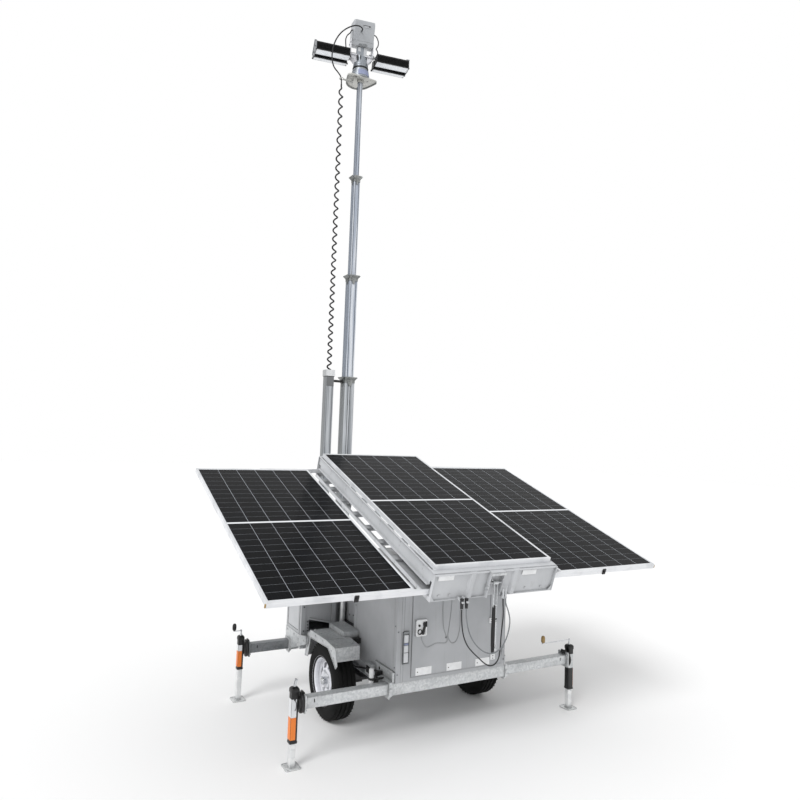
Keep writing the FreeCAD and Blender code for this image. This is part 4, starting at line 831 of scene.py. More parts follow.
for side, name, drop in ((-1, "left", LEFT_DROP), (1, "right", RIGHT_DROP)):
    body = name + "_panel"
    piece(name + "_slide_trim", slide_trim(side, drop), ALUMINIUM, body, ARRAY, bevel=0.5)
    edge = side * (SIDE_MIDDLE + PANEL_WIDTH / 2)
    middle_z = -drop - SLIDE_HEIGHT / 2
    # Moulded cap on the member's outer end
    cap = [pressed(rounded(5, 13, 3, (SIDE_SHIFT - 4.6, middle_z - 5)), "x", edge, edge + side * 9)]
    piece(name + "_corner_cap", cap, TAN_PLASTIC, body, ARRAY, bevel=1.5)
    # Latch block with its roller, at the runner's outer end
    block_x = side * 1092
    latch = [pressed(rounded(17, 24, 5, (block_x, middle_z)), "y", SIDE_SHIFT - 26, SIDE_SHIFT - 21.2)]
    latch.append(rod("y", (block_x, middle_z), 10, SIDE_SHIFT - 32, SIDE_SHIFT - 25, 18))
    latch.append(rod("y", (block_x, middle_z), 5, SIDE_SHIFT - 35, SIDE_SHIFT - 31, 6))
    piece(name + "_slide_latch", latch, BLACK_CASTING, name + "_runners", ARRAY, bevel=1)
print("slides dressed")

# %% [markdown]
# A latch strut hangs from a pin in the trough: two thin links, then a black moulded grip beside a
# bright tube. It's drawn in the trailer's own frame, because it hangs upright from the tilted
# housing. The leads' plugs are black rubber sleeves pushed on the sockets under the housing.

# %% Latch strut and plugs
shapes = []
for x in (-32, -4):
    shapes.append(pressed([(-31, 1286), (-10, 1286), (-13, 1104), (-26, 1104)], "x", x, x + 4))
shapes.append(rod("x", (-20.6, 1274), 13, -38, 5, 18))
shapes.append(rod("x", (-20, 1116), 6, -34, 2, 14))
piece("strut_links", shapes, GALVANISED, "latch_strut", bevel=0.6, stands_for=("latch_strut",))
grip = [(-30, 1122), (-20, 1118), (-17, 1062), (-15, 1030), (-18, 970), (-22, 900), (-23, 830), (-21, 788),
        (-32, 784), (-36, 840), (-37, 930), (-34, 1010), (-33, 1070)]
shapes = [pressed(grip, "y", -32, -9),
          pressed([(-18, 1024), (-18, 1014), (2, 1018), (2, 1026)], "y", -26, -16)]
piece("strut_grip", shapes, BLACK_CASTING, "latch_strut", bevel=2)
shapes = [rod("z", (-7, -20), 9, 818, 1004, 18),
          rod("z", (-7, -20), 4, 1000, 1112, 12),
          turned(((9, 800), (12, 804), (12, 816), (9, 820)), "z", (-7, -20), 20)]
piece("strut_tube", shapes, CHROME, "latch_strut")
shapes = [turned(((6, 1117), (10, 1117), (14, 1186), (6, 1186)), "z", (x, -22), 18) for x in (-303, -264)]
piece("lead_plugs", shapes, BLACK_RUBBER, "array")
print("latch strut and plugs dressed")

# %% [markdown]
# Wheels. A tyre is turned round its axle from a section with three grooves in its tread, then
# small sipes are cut across its ribs. The rim is pressed steel: a flanged barrel and a dished
# disc with eight windows. The disc is drawn as rings of points round the axle, and the rings'
# faces between the windows are left out, so each window has a rolled edge of its own.

# %% Wheels
WHEEL_OUT = 795
# Section of the tyre from its outer bead to its inner one: (radius, distance from the outer face)
TYRE_SECTION = ((178, 12), (188, 6), (205, 3), (225, 0.5), (243, 0), (262, 3), (276, 9), (287, 17), (295, 26),
                (298.5, 34), (299, 50), (292, 52), (292, 59), (299, 61), (300, 86), (292, 88), (292, 98),
                (300, 100), (299, 125), (292, 127), (292, 134), (299, 136), (298.5, 152), (295, 160),
                (287, 169), (276, 177), (262, 183), (243, 186), (225, 185.5), (205, 183), (188, 180),
                (178, 174), (174, 165), (174, 21))
RIM_BARREL = ((190, 5), (192, 8), (188, 12), (177, 14), (173, 22), (172, 60), (160, 66), (160, 120),
              (172, 126), (173, 164), (177, 172), (188, 174), (192, 178), (190, 181), (186, 176),
              (174, 168), (168, 160), (167, 128), (155, 118), (155, 68), (167, 58), (168, 26), (172, 18),
              (184, 10))
# Rings of the dished disc: (radius, distance from the wheel's outer face)
DISC_RINGS = ((56, 50), (66, 42), (80, 40), (94, 46), (138, 58), (150, 60), (160, 66))
WINDOWS = 8
WINDOW_STEPS = 12


def wheel_disc():
    """Dished disc with windows, with thickness."""
    points, faces = [], []
    steps = WINDOWS * WINDOW_STEPS
    for back in (0, 6):
        for radius, out in DISC_RINGS:
            for k in range(steps):
                angle = 2 * math.pi * k / steps
                place = (k % WINDOW_STEPS) / WINDOW_STEPS * 2 - 1
                r = radius
                # Windows are narrow at the hub and wide at the rim
                if radius == 94:
                    r = radius + 10 * abs(place) ** 2
                if radius == 138:
                    r = radius - 6 * abs(place) ** 2
                points.append((out + back, r * math.cos(angle), r * math.sin(angle)))
    rings = len(DISC_RINGS)
    sheet = rings * steps

    def is_window(ring, k):
        place = k % WINDOW_STEPS
        return ring == 3 and 2 <= place < WINDOW_STEPS - 2

    for ring in range(rings - 1):
        for k in range(steps):
            m = (k + 1) % steps
            a, b = ring * steps + k, ring * steps + m
            c, d = a + steps, b + steps
            if is_window(ring, k):
                if not is_window(ring, (k - 1) % steps):
                    faces.append((a, c, c + sheet, a + sheet))
                if not is_window(ring, m):
                    faces.append((b, d, d + sheet, b + sheet))
                faces += [(a, b, b + sheet, a + sheet), (c, d, d + sheet, c + sheet)]
            else:
                faces += [(a, b, d, c), (a + sheet, b + sheet, d + sheet, c + sheet)]
    return points, faces


def sipes():
    """Short bars across the tread's outer ribs, each a small block, which read as cuts."""
    shapes = []
    for k in range(48):
        angle = 2 * math.pi * k / 48
        turn = Matrix.Rotation(angle, 4, "X")
        for x0, x1 in ((18, 46), (140, 168)):
            shapes.append(placed(block(x0, x1, -1.6, 1.6, 286, 296.5), turn))
    return shapes


def to_wheel(shapes, side):
    """From distance below the outer face and places round the axle to the trailer's own."""
    return [([(side * (WHEEL_OUT - x), WHEEL_STATION + y, AXLE_HEIGHT + z) for x, y, z in points], faces)
            for points, faces in shapes]


SIDES = ((-1, "left"), (1, "right"))
for side, name in SIDES:
    body = "wheel_" + name
    tyre = turned(TYRE_SECTION, "x", (0, 0), 72, closed=True)
    piece("tyre_" + name + "_tread", to_wheel([tyre], side), TYRE, body, crease=28,
          stands_for=("tyre_" + name,))
    ribs = [turned(((r, 4.2), (r + 1.6, 1.4), (r + 3.2, 4.2)), "x", (0, 0), 72, closed=True)
            for r in (209, 216)]
    piece("tyre_" + name + "_ribs", to_wheel(ribs + sipes(), side), TYRE, body)
    barrel = turned(RIM_BARREL, "x", (0, 0), 64, closed=True)
    hub = turned(((20, 45), (52, 46), (54, 50), (57, 56), (57, 118), (20, 120)), "x", (0, 0), 40)
    nuts = []
    for k in range(5):
        angle = 2 * math.pi * k / 5
        nuts += bolts([(72 * math.cos(angle), 72 * math.sin(angle))], "x", 30, 43, 9.5)
    piece("wheel_" + name + "_rim", to_wheel([barrel, wheel_disc(), hub], side), WHITE_PAINT, body, crease=38,
          stands_for=("wheel_" + name,))
    cap = turned(((1, 0.5), (14, 1), (24, 4), (29, 10), (30, 18), (30, 48)), "x", (0, 0), 32)
    valve = rod("x", (0, -150), 4, 48, 66, 10)
    piece("wheel_" + name + "_cap", to_wheel([cap, valve] + nuts, side), CHROME, body, bevel=0.6)
print("wheels dressed")

# %% [markdown]
# The springs are stacks of thin leaves, each bent to its own arch and clipped, with U-bolts round
# the axle. The fenders get rolled hems and rivets.

# %% Springs and fenders
# Half the distance between the springs' eyes, and the springs' place from the middle
SPRING_HALF = 316
SPRING_X = 481


def leaf(half, rise, low, thick):
    """One arched leaf, ends up: points along the top and back along the bottom."""
    stations = [WHEEL_STATION - half + 2 * half * k / 14 for k in range(15)]
    top = [(s, low + thick + rise * ((s - WHEEL_STATION) / half) ** 2) for s in stations]
    under = [(s, z - thick) for s, z in reversed(top)]
    return top + under


shapes = []
for side in (-1, 1):
    x0, x1 = side * SPRING_X - 22, side * SPRING_X + 22
    for k, (half, rise) in enumerate(((318, 26), (262, 17), (200, 10), (140, 5))):
        shapes.append(pressed(leaf(half, rise, 357 - 8 * k, 7), "x", x0, x1))
    # Hangers with their pins
    for end in (-1, 1):
        station = WHEEL_STATION + end * SPRING_HALF
        hanger = [(station - 20, 382), (station + 20, 382), (station + 12, 338), (station - 12, 338)]
        for cheek in (side * SPRING_X - 26, side * SPRING_X + 22):
            shapes.append(pressed(hanger, "x", cheek, cheek + 4))
        shapes.append(rod("x", (station, 374), 11, x0 - 6, x1 + 6, 14))
    # U-bolts and their plates
    for off in (-26, 26):
        for x in (x0 - 5, x1 + 5):
            shapes.append(rod("z", (x, WHEEL_STATION + off), 5, 262, 378, 10))
    shapes += [block(x0 - 14, x1 + 14, WHEEL_STATION - 42, WHEEL_STATION + 42, z, z + 8) for z in (266, 364)]
piece("arched_springs", shapes, BLACK_PAINT, "chassis", bevel=0.8, stands_for=("leaf_springs",))

FENDER_OUT = 812


def hem(line, x, radius):
    """Rolled edge along a bent sheet's outline."""
    return run_tube([(x, s, z) for s, z in line], radius, 8)


shapes = []
for side in (-1, 1):
    x = side * (FENDER_OUT + 1)
    shapes.append(hem(((1497, 417), (1455, 604), (1400, 648), (1085, 654), (905, 640), (862, 520), (884, 494),
                       (1040, 608), (1394, 590), (1440, 425), (1497, 417)), x, 3.2))
    for station, z in ((930, 560), (980, 600), (1150, 632), (1300, 628), (1420, 585), (1455, 500)):
        shapes += bolts([(station, z)], "x", side * 812, side * 816, 6.5)
    for s in (960, 1110, 1260, 1380):
        shapes += bolts([(side * 640, s), (side * 780, s)], "z", 640, 658, 7)
    # Step plate ahead of the fender, where it meets the ledge
    shapes.append(pressed([(side * 642, 1085), (side * 812, 1085), (side * 812, 1110),
                           (side * 642, 1110)], "z", 654, 657))
piece("fender_trim", shapes, GALVANISED, "chassis", bevel=0.5)
# Mud brackets and hub lines over the axle
shapes = []
for side in (-1, 1):
    shapes.append(pressed([(1060, 470), (1120, 470), (1150, 560), (1040, 560)], "x",
                          side * 560, side * 566))
    shapes.append(block(side * 506, side * 600, 1070, 1110,
                        600, 640))
piece("fender_stays", shapes, BLACK_PAINT, "chassis", bevel=1)
print("running gear dressed")

# %% [markdown]
# Outriggers and jacks. Each beam is a square tube dipped in zinc, with a plate at its end. The
# jack turns on a swivel there, a tube with a domed cap, a folded crank and two squares of coloured
# sheeting; its inner leg stands on a pressed foot plate.

# %% Outriggers
BEAM_HALF = 38
BEAM_IN = 358
BEAM_END = 1203
PLATE_T = 10
# Half width and lower end of the jacks' tubes: the front jacks are a smaller size
REAR_TUBE = (26, 165)
FRONT_TUBE = (23.5, 258)


def sided(side, shapes):
    """Drawn on the right; mirrored where the corner is on the left."""
    return shapes if side > 0 else mirrored(shapes)


def beam_shapes(station, rear):
    outer = rounded(BEAM_HALF, BEAM_HALF, 7, (station, BEAM_HEIGHT))
    inner = rounded(BEAM_HALF - 4, BEAM_HALF - 4, 3.5, (station, BEAM_HEIGHT))
    shapes = [hollow(outer, inner, "x", BEAM_IN, BEAM_END)]
    # End plate, with a fin above it and a gusset below
    plate = rounded(60, 62, 12, (station, BEAM_HEIGHT))
    shapes.append(pressed(plate, "x", BEAM_END, BEAM_END + PLATE_T))
    shapes.append(pressed([(BEAM_END + 1, BEAM_HEIGHT - 50), (BEAM_END + 1, BEAM_HEIGHT - 36),
                           (BEAM_END - 47, BEAM_HEIGHT - 37)], "y", station - 4, station + 4))
    shapes += bolts([(station + sy * 46, BEAM_HEIGHT + sz * 41) for sy in (-1, 1) for sz in (-1, 1)],
                    "x", BEAM_END - 7, BEAM_END + 1, 8)
    # Lock pin's boss on the beam's top
    shapes.append(rod("z", (700, station), 16, BEAM_HEIGHT + 34, BEAM_HEIGHT + 38.4, 20))
    # Row of plugged holes along the outer side
    face = station + (-BEAM_HALF if rear else BEAM_HALF)
    for x in (640, 1150):
        shapes.append(rod("y", (x, BEAM_HEIGHT), 9, face - 0.4, face + 0.4, 18))
    return shapes


def swivel_shapes(station):
    """Round flange on the end plate."""
    profile = [(r, BEAM_END + out) for r, out in ((12, 0), (40, 0), (40, 10), (36, 16), (12, 16))]
    return [turned(profile, "x", (station, BEAM_HEIGHT), 40)]


for corner, side, station, reach in JACKS:
    body = "outrigger_" + corner
    rear = station < 1000
    shapes = sided(side, beam_shapes(station, rear) + swivel_shapes(station))
    beam_finish = DARK_GALVANISED if corner.startswith("front") else GALVANISED
    piece("beam_" + corner, shapes, beam_finish, body, bevel=0.9, stands_for=(body,))
    # Black sheet near the end as painted shade for an upright slot, and a fin over the plate
    shapes = [pressed(rounded(4.5, 13.5, 4.5, (BEAM_END - 67, BEAM_HEIGHT + 12)), "y",
                      station - BEAM_HALF - 0.2, station - BEAM_HALF + 0.2)]
    fin = [(BEAM_END + out, BEAM_HEIGHT + up) for out, up in ((-6, 46), (10, 46), (10, 74), (2, 74))]
    shapes.append(pressed(fin, "y", station - 26, station + 26))
    piece("fin_and_slot_shade_" + corner, sided(side, shapes), BLACK_PAINT, body, bevel=0.8)

# %% [markdown]
# Each jack is a square tube with a lip at its foot, painted black, a moulded cap over its gears, a
# swivel with a bright ring, and a crank. The cap is a stack of rounded squares joined by faces,
# because a moulded part swells and closes in a way that one pressed outline can't. The rear left
# crank is folded up and has lost its knob.

# %% Jacks
JACK_TOP = 505
CRANK_Z = 573


def jack_tube(station, half, bottom):
    shapes = []
    outer = rounded(half, half, 7, (JACK_X, station))
    inner = rounded(half - 2.3, half - 2.3, 3, (JACK_X, station))
    shapes.append(hollow(outer, inner, "z", bottom, JACK_TOP))
    # Lip at the tube's foot and the collar that the swivel is welded to
    lip = rounded(half + 2.5, half + 2.5, 8, (JACK_X, station))
    shapes.append(hollow(lip, outer, "z", bottom, bottom + 14))
    hub = turned(((18, 1219), (68, 1219), (70, 1222), (70, 1230), (66, 1234), (48, 1236), (46, 1250),
                  (18, 1250)), "x", (station, BEAM_HEIGHT), 44)
    shapes.append(hub)
    # Pull pin with its ring beside the hub
    shapes.append(rod("x", (station + 40, BEAM_HEIGHT + 40), 6, 1206, 1246, 12))
    return shapes


def jack_cap(station, half):
    """Domed cover over the gears: (half width, height) of its rings."""
    rings = ((half + 1, 462), (half + 1.2, 500), (half + 4, 503), (half + 4.5, 520), (half + 2, 529),
             (half - 4, 536), (half - 14, 539))
    points, faces = [], []
    outline = [rounded(w, w, min(9, w - 1), (JACK_X, station)) for w, z in rings]
    n = len(outline[0])
    for (w, z), ring in zip(rings, outline):
        points += [(a, b, z) for a, b in ring]
    for row in range(len(rings) - 1):
        for k in range(n):
            m = (k + 1) % n
            faces.append((row * n + k, row * n + m, (row + 1) * n + m, (row + 1) * n + k))
    faces += [tuple(range(n)), tuple(range((len(rings) - 1) * n, len(rings) * n))]
    return [(points, faces)]


def crank_shapes(station, reach):
    """Shaft, flat arm with round ends, and the axle of its knob."""
    knob_x = JACK_X + reach
    shapes = [rod("z", (JACK_X, station), 7, 530, CRANK_Z + 8, 14)]
    shapes.append(turned(((7, 536), (11, 538), (11, 548), (7, 550)), "z", (JACK_X, station), 18))
    low, high = min(knob_x, JACK_X), max(knob_x, JACK_X)
    arm = [(x + 9 * math.cos(a), station + 9 * math.sin(a)) for x, start in ((high, -90), (low, 90))
           for a in [math.radians(start + 180 * k / 8) for k in range(9)]]
    shapes.append(pressed(arm, "z", CRANK_Z + 1, CRANK_Z + 7))
    shapes += bolts([(JACK_X, station)], "z", CRANK_Z + 7, CRANK_Z + 13, 7)
    shapes.append(rod("z", (knob_x, station), 4, CRANK_Z + 6, CRANK_Z + 64, 10))
    return shapes


def knob_shapes(station, reach):
    middle = (JACK_X + reach, station)
    profile = ((8, 0), (13, 3), (16, 10), (17, 22), (17, 36), (15, 48), (11, 56), (4, 59))
    return [turned([(r, CRANK_Z + 9 + z) for r, z in profile], "z", middle, 20)]


def folded_crank(station):
    """The rear left jack's crank: its arm folded up beside the shaft, its handle a bare tube."""
    shapes = [rod("z", (JACK_X, station), 7, 530, 556, 14)]
    arm = [(JACK_X - 8, 540), (JACK_X + 8, 540), (JACK_X - 4, 588), (JACK_X - 20, 588)]
    shapes.append(pressed(arm, "y", station - 9, station - 4))
    shapes.append(pressed(arm, "y", station + 4, station + 9))
    shapes.append(rod("y", (JACK_X, 548), 5, station - 14, station + 14, 14))
    shapes.append(rod("y", (JACK_X - 12, 581), 6, station - 16, station + 20, 14))
    return shapes


for corner, side, station, reach in JACKS:
    body = "outrigger_" + corner
    half, bottom = FRONT_TUBE if corner.startswith("front") else REAR_TUBE
    if corner == "rear_right":
        # The upper part of this tube has lost its paint and shows zinc
        upper = hollow(rounded(half + 0.4, half + 0.4, 7, (JACK_X, station)),
                       rounded(half, half, 7, (JACK_X, station)), "z", 345, 461)
        piece("jack_zinc_" + corner, sided(side, [upper]), GALVANISED, body)
    piece("jack_tube_" + corner, sided(side, jack_tube(station, half, bottom)), BLACK_PAINT, body, bevel=0.7,
          stands_for=("jack_" + corner,))
    piece("jack_cap_" + corner, sided(side, jack_cap(station, half)), BLACK_CASTING, body, crease=50)
    # Bright ring round the swivel's bolt
    ring = turned(((20, 1235), (40, 1235), (40, 1240), (34, 1243), (20, 1243)), "x",
                  (station, BEAM_HEIGHT), 32, closed=True)
    piece("swivel_ring_" + corner, sided(side, [ring]), ZINC, body)
    if corner == "rear_left":
        piece("jack_crank_" + corner, sided(side, folded_crank(station)), CHROME, body, bevel=0.6)
        continue
    piece("jack_crank_" + corner, sided(side, crank_shapes(station, reach)), CHROME, body, bevel=0.6)
    piece("jack_knob_" + corner, sided(side, knob_shapes(station, reach)),
          TAN_PLASTIC if corner == "rear_right" else BLACK_CASTING, body, crease=50)

# %% [markdown]
# Sheeting on the jacks: white above orange on the left ones, orange alone on the rear right one.
# Each is one thin sheet bent round the tube's outward and rear faces.

# %% Sheeting on the jacks
# (corner, colour, low, high)
SHEETING = (("rear_left", "white", 339, 461), ("rear_left", "orange", 190, 338),
            ("front_left", "white", 412, 461), ("front_left", "orange", 282, 411),
            ("rear_right", "orange", 190, 342), ("front_right", "white", 412, 461),
            ("front_right", "orange", 282, 411))
CORNER_AT = {corner: (side, station) for corner, side, station, reach in JACKS}
BARE_STRIP = 15


def sheeting(station, low, high, half, rear):
    """Sheet bent round the tube's outward side, one part lapping over most of its rear side."""
    t = 0.8
    shapes = [block(JACK_X + half - 0.1, JACK_X + half + t, station - half + 3, station + half - 3,
                    low, high)]
    if rear:
        shapes.append(block(JACK_X - half + BARE_STRIP, JACK_X + half - 1, station - half - t,
                            station - half + 0.1, low, high))
    return shapes


for corner, colour, low, high in SHEETING:
    side, station = CORNER_AT[corner]
    half = (FRONT_TUBE if corner.startswith("front") else REAR_TUBE)[0]
    piece("sheeting_%s_%s" % (corner, colour),
          sided(side, sheeting(station, low, high, half, corner != "rear_right")),
          SILVER_SHEET if colour == "white" else ORANGE_SHEET, "outrigger_" + corner)
# Small dark square and a bent black wire on the rear left jack's white sheet
wire = [(-(JACK_X + 6 - 14 * math.sin(a)), REAR_BEAM - REAR_TUBE[0] - 3, 418 + 34 * math.cos(a))
        for a in [math.radians(20 + 14 * k) for k in range(11)]]
piece("jack_wire", [run_tube(wire, 2, 8), block(-JACK_X - 10, -JACK_X + 4, 532.4, 534, 452, 466)],
      BLACK_RUBBER, "outrigger_rear_left")

# %% [markdown]
# The inner legs are bright zinc tube, each welded on a pressed foot plate with a turned-up rim,
# four holes and two low gussets. They ride on the bodies that slide in the jacks.

# %% Legs
LEG_HALF = 21


def leg_shapes(station):
    outer = rounded(LEG_HALF, LEG_HALF, 5, (JACK_X, station))
    inner = rounded(LEG_HALF - 4, LEG_HALF - 4, 2, (JACK_X, station))
    shapes = [hollow(outer, inner, "z", 5, 300)]
    # Foot plate: turned-up rim, rounded corners, four holes with bolts, and weld at the leg
    plate = rounded(56, 56, 14, (JACK_X, station))
    shapes.append(pressed(plate, "z", 0, 6))
    shapes.append(hollow(plate, rounded(53, 53, 12, (JACK_X, station)), "z", 5.5, 9.5))
    shapes.append(hollow(rounded(LEG_HALF + 5, LEG_HALF + 5, 7, (JACK_X, station)), outer, "z", 5, 10))
    for sx in (-1, 1):
        for sy in (-1, 1):
            shapes.append(rod("z", (JACK_X + sx * 38, station + sy * 38), 6.5, 5.5, 8.5, 16))
    # Gussets between leg and plate
    for sy in (-1, 1):
        shapes.append(pressed([(station + sy * 20, 6), (station + sy * 44, 6),
                               (station + sy * 20, 13)], "x", JACK_X - 2.5, JACK_X + 2.5))
    return shapes


for corner, side, station, reach in JACKS:
    piece("foot_" + corner, sided(side, leg_shapes(station)), ZINC, "leg_" + corner, bevel=0.7,
          stands_for=("leg_" + corner,))
print("jacks dressed:", len(JACKS))

# %% [markdown]
# The cabinet is folded sheet on a frame: corner flanges, seams between panels, a flush door with a
# swing-handle latch in a white plate, and a long reflector in a channel beside it. Each panel is
# a thin sheet of its own, laid a little proud, so the seams between them are real gaps.

# %% Cabinet
CABINET_FRONT = 1211


def side_range(side, near, far):
    """Two distances from the middle, as X places in rising order."""
    return min(side * near, side * far), max(side * near, side * far)


# Sheets on the rear wall beside the door: (x from, x to, low, high)
REAR_SHEETS = ((-506, -468, SHEET_LOW, SHEET_TOP), (-465.5, -446, SHEET_LOW, SHEET_TOP),
               (-443.5, -380, SHEET_LOW, SHEET_TOP), (504, 506, SHEET_LOW, SHEET_TOP),
               (-380, 474, SHEET_LOW, 496), (-380, 474, 1154, SHEET_TOP))
shapes = [block(x0, x1, CABINET_REAR - 2, CABINET_REAR + 0.5, z0, z1) for x0, x1, z0, z1 in REAR_SHEETS]
# Side sheets with a folded corner, and a seam down the middle
for side in (-1, 1):
    x0, x1 = side_range(side, CABINET_HALF - 0.5, CABINET_HALF + 2)
    for s0, s1 in ((CABINET_REAR - 2, CABINET_REAR + 34), (CABINET_REAR + 36.5, 1158),
                   (1160.5, CABINET_FRONT)):
        shapes.append(block(x0, x1, s0, s1, 552, SHEET_TOP))
# Roof with a turned-down lip and a raised middle
shapes.append(hollow(rounded(CABINET_HALF + 5, 358, 3, (0, 855.5), 2),
                     rounded(CABINET_HALF + 1.5, 354.5, 2, (0, 855.5), 2), "z", 1180, 1202))
shapes.append(pressed(rounded(250, 240, 12, (0, 920)), "z", 1199, 1203))
piece("cabinet_sheets", shapes, GREY_PAINT, "chassis", bevel=0.6)

shapes = bolts([(-493, 531), (496, 525), (-493, 1160), (496, 1160), (-493, 840)], "y",
               CABINET_REAR - 6, CABINET_REAR, 5.5)
for side in (-1, 1):
    low, high = side_range(side, CABINET_HALF, CABINET_HALF + 6)
    shapes += bolts([(s, z) for s in (515, 1180) for z in (580, 880, 1170)], "x", low, high, 5.5)
    # Lifting eyes on the roof
    shapes.append(pressed(circle(26, (1150, 1200), 20), "x", side * 470 - 4, side * 470 + 4))
piece("cabinet_bolts", shapes, DARK_GALVANISED, "chassis", bevel=0.5)

# Channel along each side's foot, outside the rail, with a box at its end; black sheets on the channel and on
# the box's end are painted shade for their holes
shapes = []
hole_shades = []
for side in (-1, 1):
    web = side_range(side, CABINET_HALF - 1, CABINET_HALF + 3)
    lip = side_range(side, CABINET_HALF - 1, CABINET_HALF + 20)
    shapes.append(block(*web, CABINET_REAR + 8, 800, 472, 550))
    shapes += [block(*lip, CABINET_REAR + 8, end, z0, z1) for end, z0, z1 in
               ((800, 546, 550), (800, 472, 476), (CABINET_REAR + 12, 472, 550))]
    shapes.append(pressed(rounded(52, 44, 6, (846, 470)), "x", *side_range(side, CABINET_HALF - 2, 552)))
    hole_shades.append(rod("x", (742, 508), 11, *side_range(side, CABINET_HALF + 1, CABINET_HALF + 4.5), 20))
    hole_shades.append(pressed(rounded(30, 26, 4, (846, 470)), "x", *side_range(side, 551, 553)))
piece("foot_channels", shapes, GALVANISED, "chassis", bevel=0.8)
piece("foot_channel_hole_shades", hole_shades, BLACK_RUBBER, "chassis")
print("cabinet sheets laid")

# %% [markdown]
# On the door: three blank plates along its foot, small white catches, thin wires clipped to the
# sheet, and the latch. The latch's white plate carries a black swing handle, its pivot ring and a
# lock.

# %% Door
DOOR_SKIN = 491.7
LATCH_FACE = 479.7
DOOR_PLATES = ((-339, -197), (-60, 80), (213, 350))

shapes, dots = [], []
for x0, x1 in DOOR_PLATES:
    shapes.append(block(x0, x1, DOOR_SKIN - 1.4, DOOR_SKIN + 0.2, 506, 562))
    dots.append(rod("y", (x0 + 17, 531), 4.2, DOOR_SKIN - 3, DOOR_SKIN - 1, 12))
for x0, x1, z0, z1 in ((336, 374, 828, 868), (356, 398, 540, 582)):
    shapes.append(block(x0, x1, DOOR_SKIN - 9, DOOR_SKIN + 0.2, z0, z1))
    dots += [rod("y", ((x0 + x1) / 2, z), 4, DOOR_SKIN - 10.5, DOOR_SKIN - 8.5, 12)
             for z in (z0 + 11, z1 - 11)]
piece("door_plates", shapes, WHITE_PLASTIC, "rear_door", bevel=0.7)
piece("door_dots", dots, BLACK_RUBBER, "rear_door")

plate = rounded(47, 60, 10, (-306, 857.5))
recess = rounded(37, 50, 6, (-306, 857.5))
shapes = [hollow(plate, recess, "y", LATCH_FACE - 6, DOOR_SKIN + 0.2),
          pressed(recess, "y", LATCH_FACE - 1.5, LATCH_FACE + 1)]
piece("latch_plate", shapes, WHITE_PLASTIC, "rear_door", bevel=1.2)
# Swing handle: a bar that widens to a grip, hinged at its foot over a ring
handle = [(-300, 808), (-286, 812), (-276, 868), (-278, 900), (-290, 903), (-296, 890),
          (-292, 866), (-305, 822)]
shapes = [pressed(handle, "y", LATCH_FACE - 14, LATCH_FACE - 4)]
shapes.append(turned(((14, LATCH_FACE - 9), (20, LATCH_FACE - 9), (20, LATCH_FACE - 1), (14, LATCH_FACE - 1)),
                     "y", (-322, 830), 28, closed=True))
shapes.append(rod("y", (-326, 876), 9, LATCH_FACE - 8, LATCH_FACE, 18))
shapes.append(pressed(rounded(5, 20, 3, (-267, 884)), "y", LATCH_FACE - 12, LATCH_FACE - 2))
piece("latch_handle", shapes, BLACK_CASTING, "rear_door", bevel=1.2)

# Thin wires on the door, each from a clip near its top: (x, height)
CLIP_Z = 1136
WIRE_C = ((-109, CLIP_Z), (-109, 1023), (-108, 955), (-99, 843), (-70, 767), (-61, 733), (-86, 718),
          (-160, 726), (-246, 706), (-287, 755), (-299, 796))
WIRE_D = ((-28, CLIP_Z), (-28, 1031), (-35, 933), (-47, 843), (-57, 778), (-51, 752), (-35, 727),
          (-12, 710), (25, 727), (54, 815), (54, 925), (52, 1025), (52, CLIP_Z))


def smooth(points, steps=6):
    """Points along a rounded line through the given ones."""
    out = []
    n = len(points)
    for k in range(n - 1):
        before, a = Vector(points[max(k - 1, 0)]), Vector(points[k])
        b, after = Vector(points[k + 1]), Vector(points[min(k + 2, n - 1)])
        for step in range(steps):
            t = step / steps
            out.append(0.5 * ((2 * a) + (b - before) * t + (2 * before - 5 * a + 4 * b - after) * t ** 2
                              + (3 * a - before - 3 * b + after) * t ** 3))
    return out + [Vector(points[-1])]


shapes = []
for wire in (WIRE_C, WIRE_D):
    shapes.append(run_tube(smooth([(x, DOOR_SKIN - 2.6, z) for x, z in wire]), 1.7, 6))
piece("door_wires", shapes, PALE_LEAD, "rear_door")
clips = [block(x - 7, x + 7, DOOR_SKIN - 5, DOOR_SKIN + 0.2, z - 5, z + 5) for x, z in
         ((-109, CLIP_Z), (-28, CLIP_Z), (52, CLIP_Z), (-73, 760))]
clips.append(block(346, 349, DOOR_SKIN - 2, DOOR_SKIN + 0.2, 868, 1140))
piece("door_clips", clips, DARK_GALVANISED, "rear_door", bevel=0.5)
# Stiffening fold down the door's right part, and its folded edges
shapes = [pressed([(352, DOOR_SKIN), (357, DOOR_SKIN - 3), (376, DOOR_SKIN - 3), (381, DOOR_SKIN)],
                  "z", 600, 1120)]
for x0, x1 in ((-376, -371), (465, 470)):
    shapes.append(block(x0, x1, DOOR_SKIN - 1.6, DOOR_SKIN + 0.2, 501, 1149))
for z0, z1 in ((500.5, 505), (1144.5, 1149.5)):
    shapes.append(block(-375, 469, DOOR_SKIN - 1.6, DOOR_SKIN + 0.2, z0, z1))
piece("door_folds", shapes, GREY_PAINT, "rear_door", bevel=0.6)

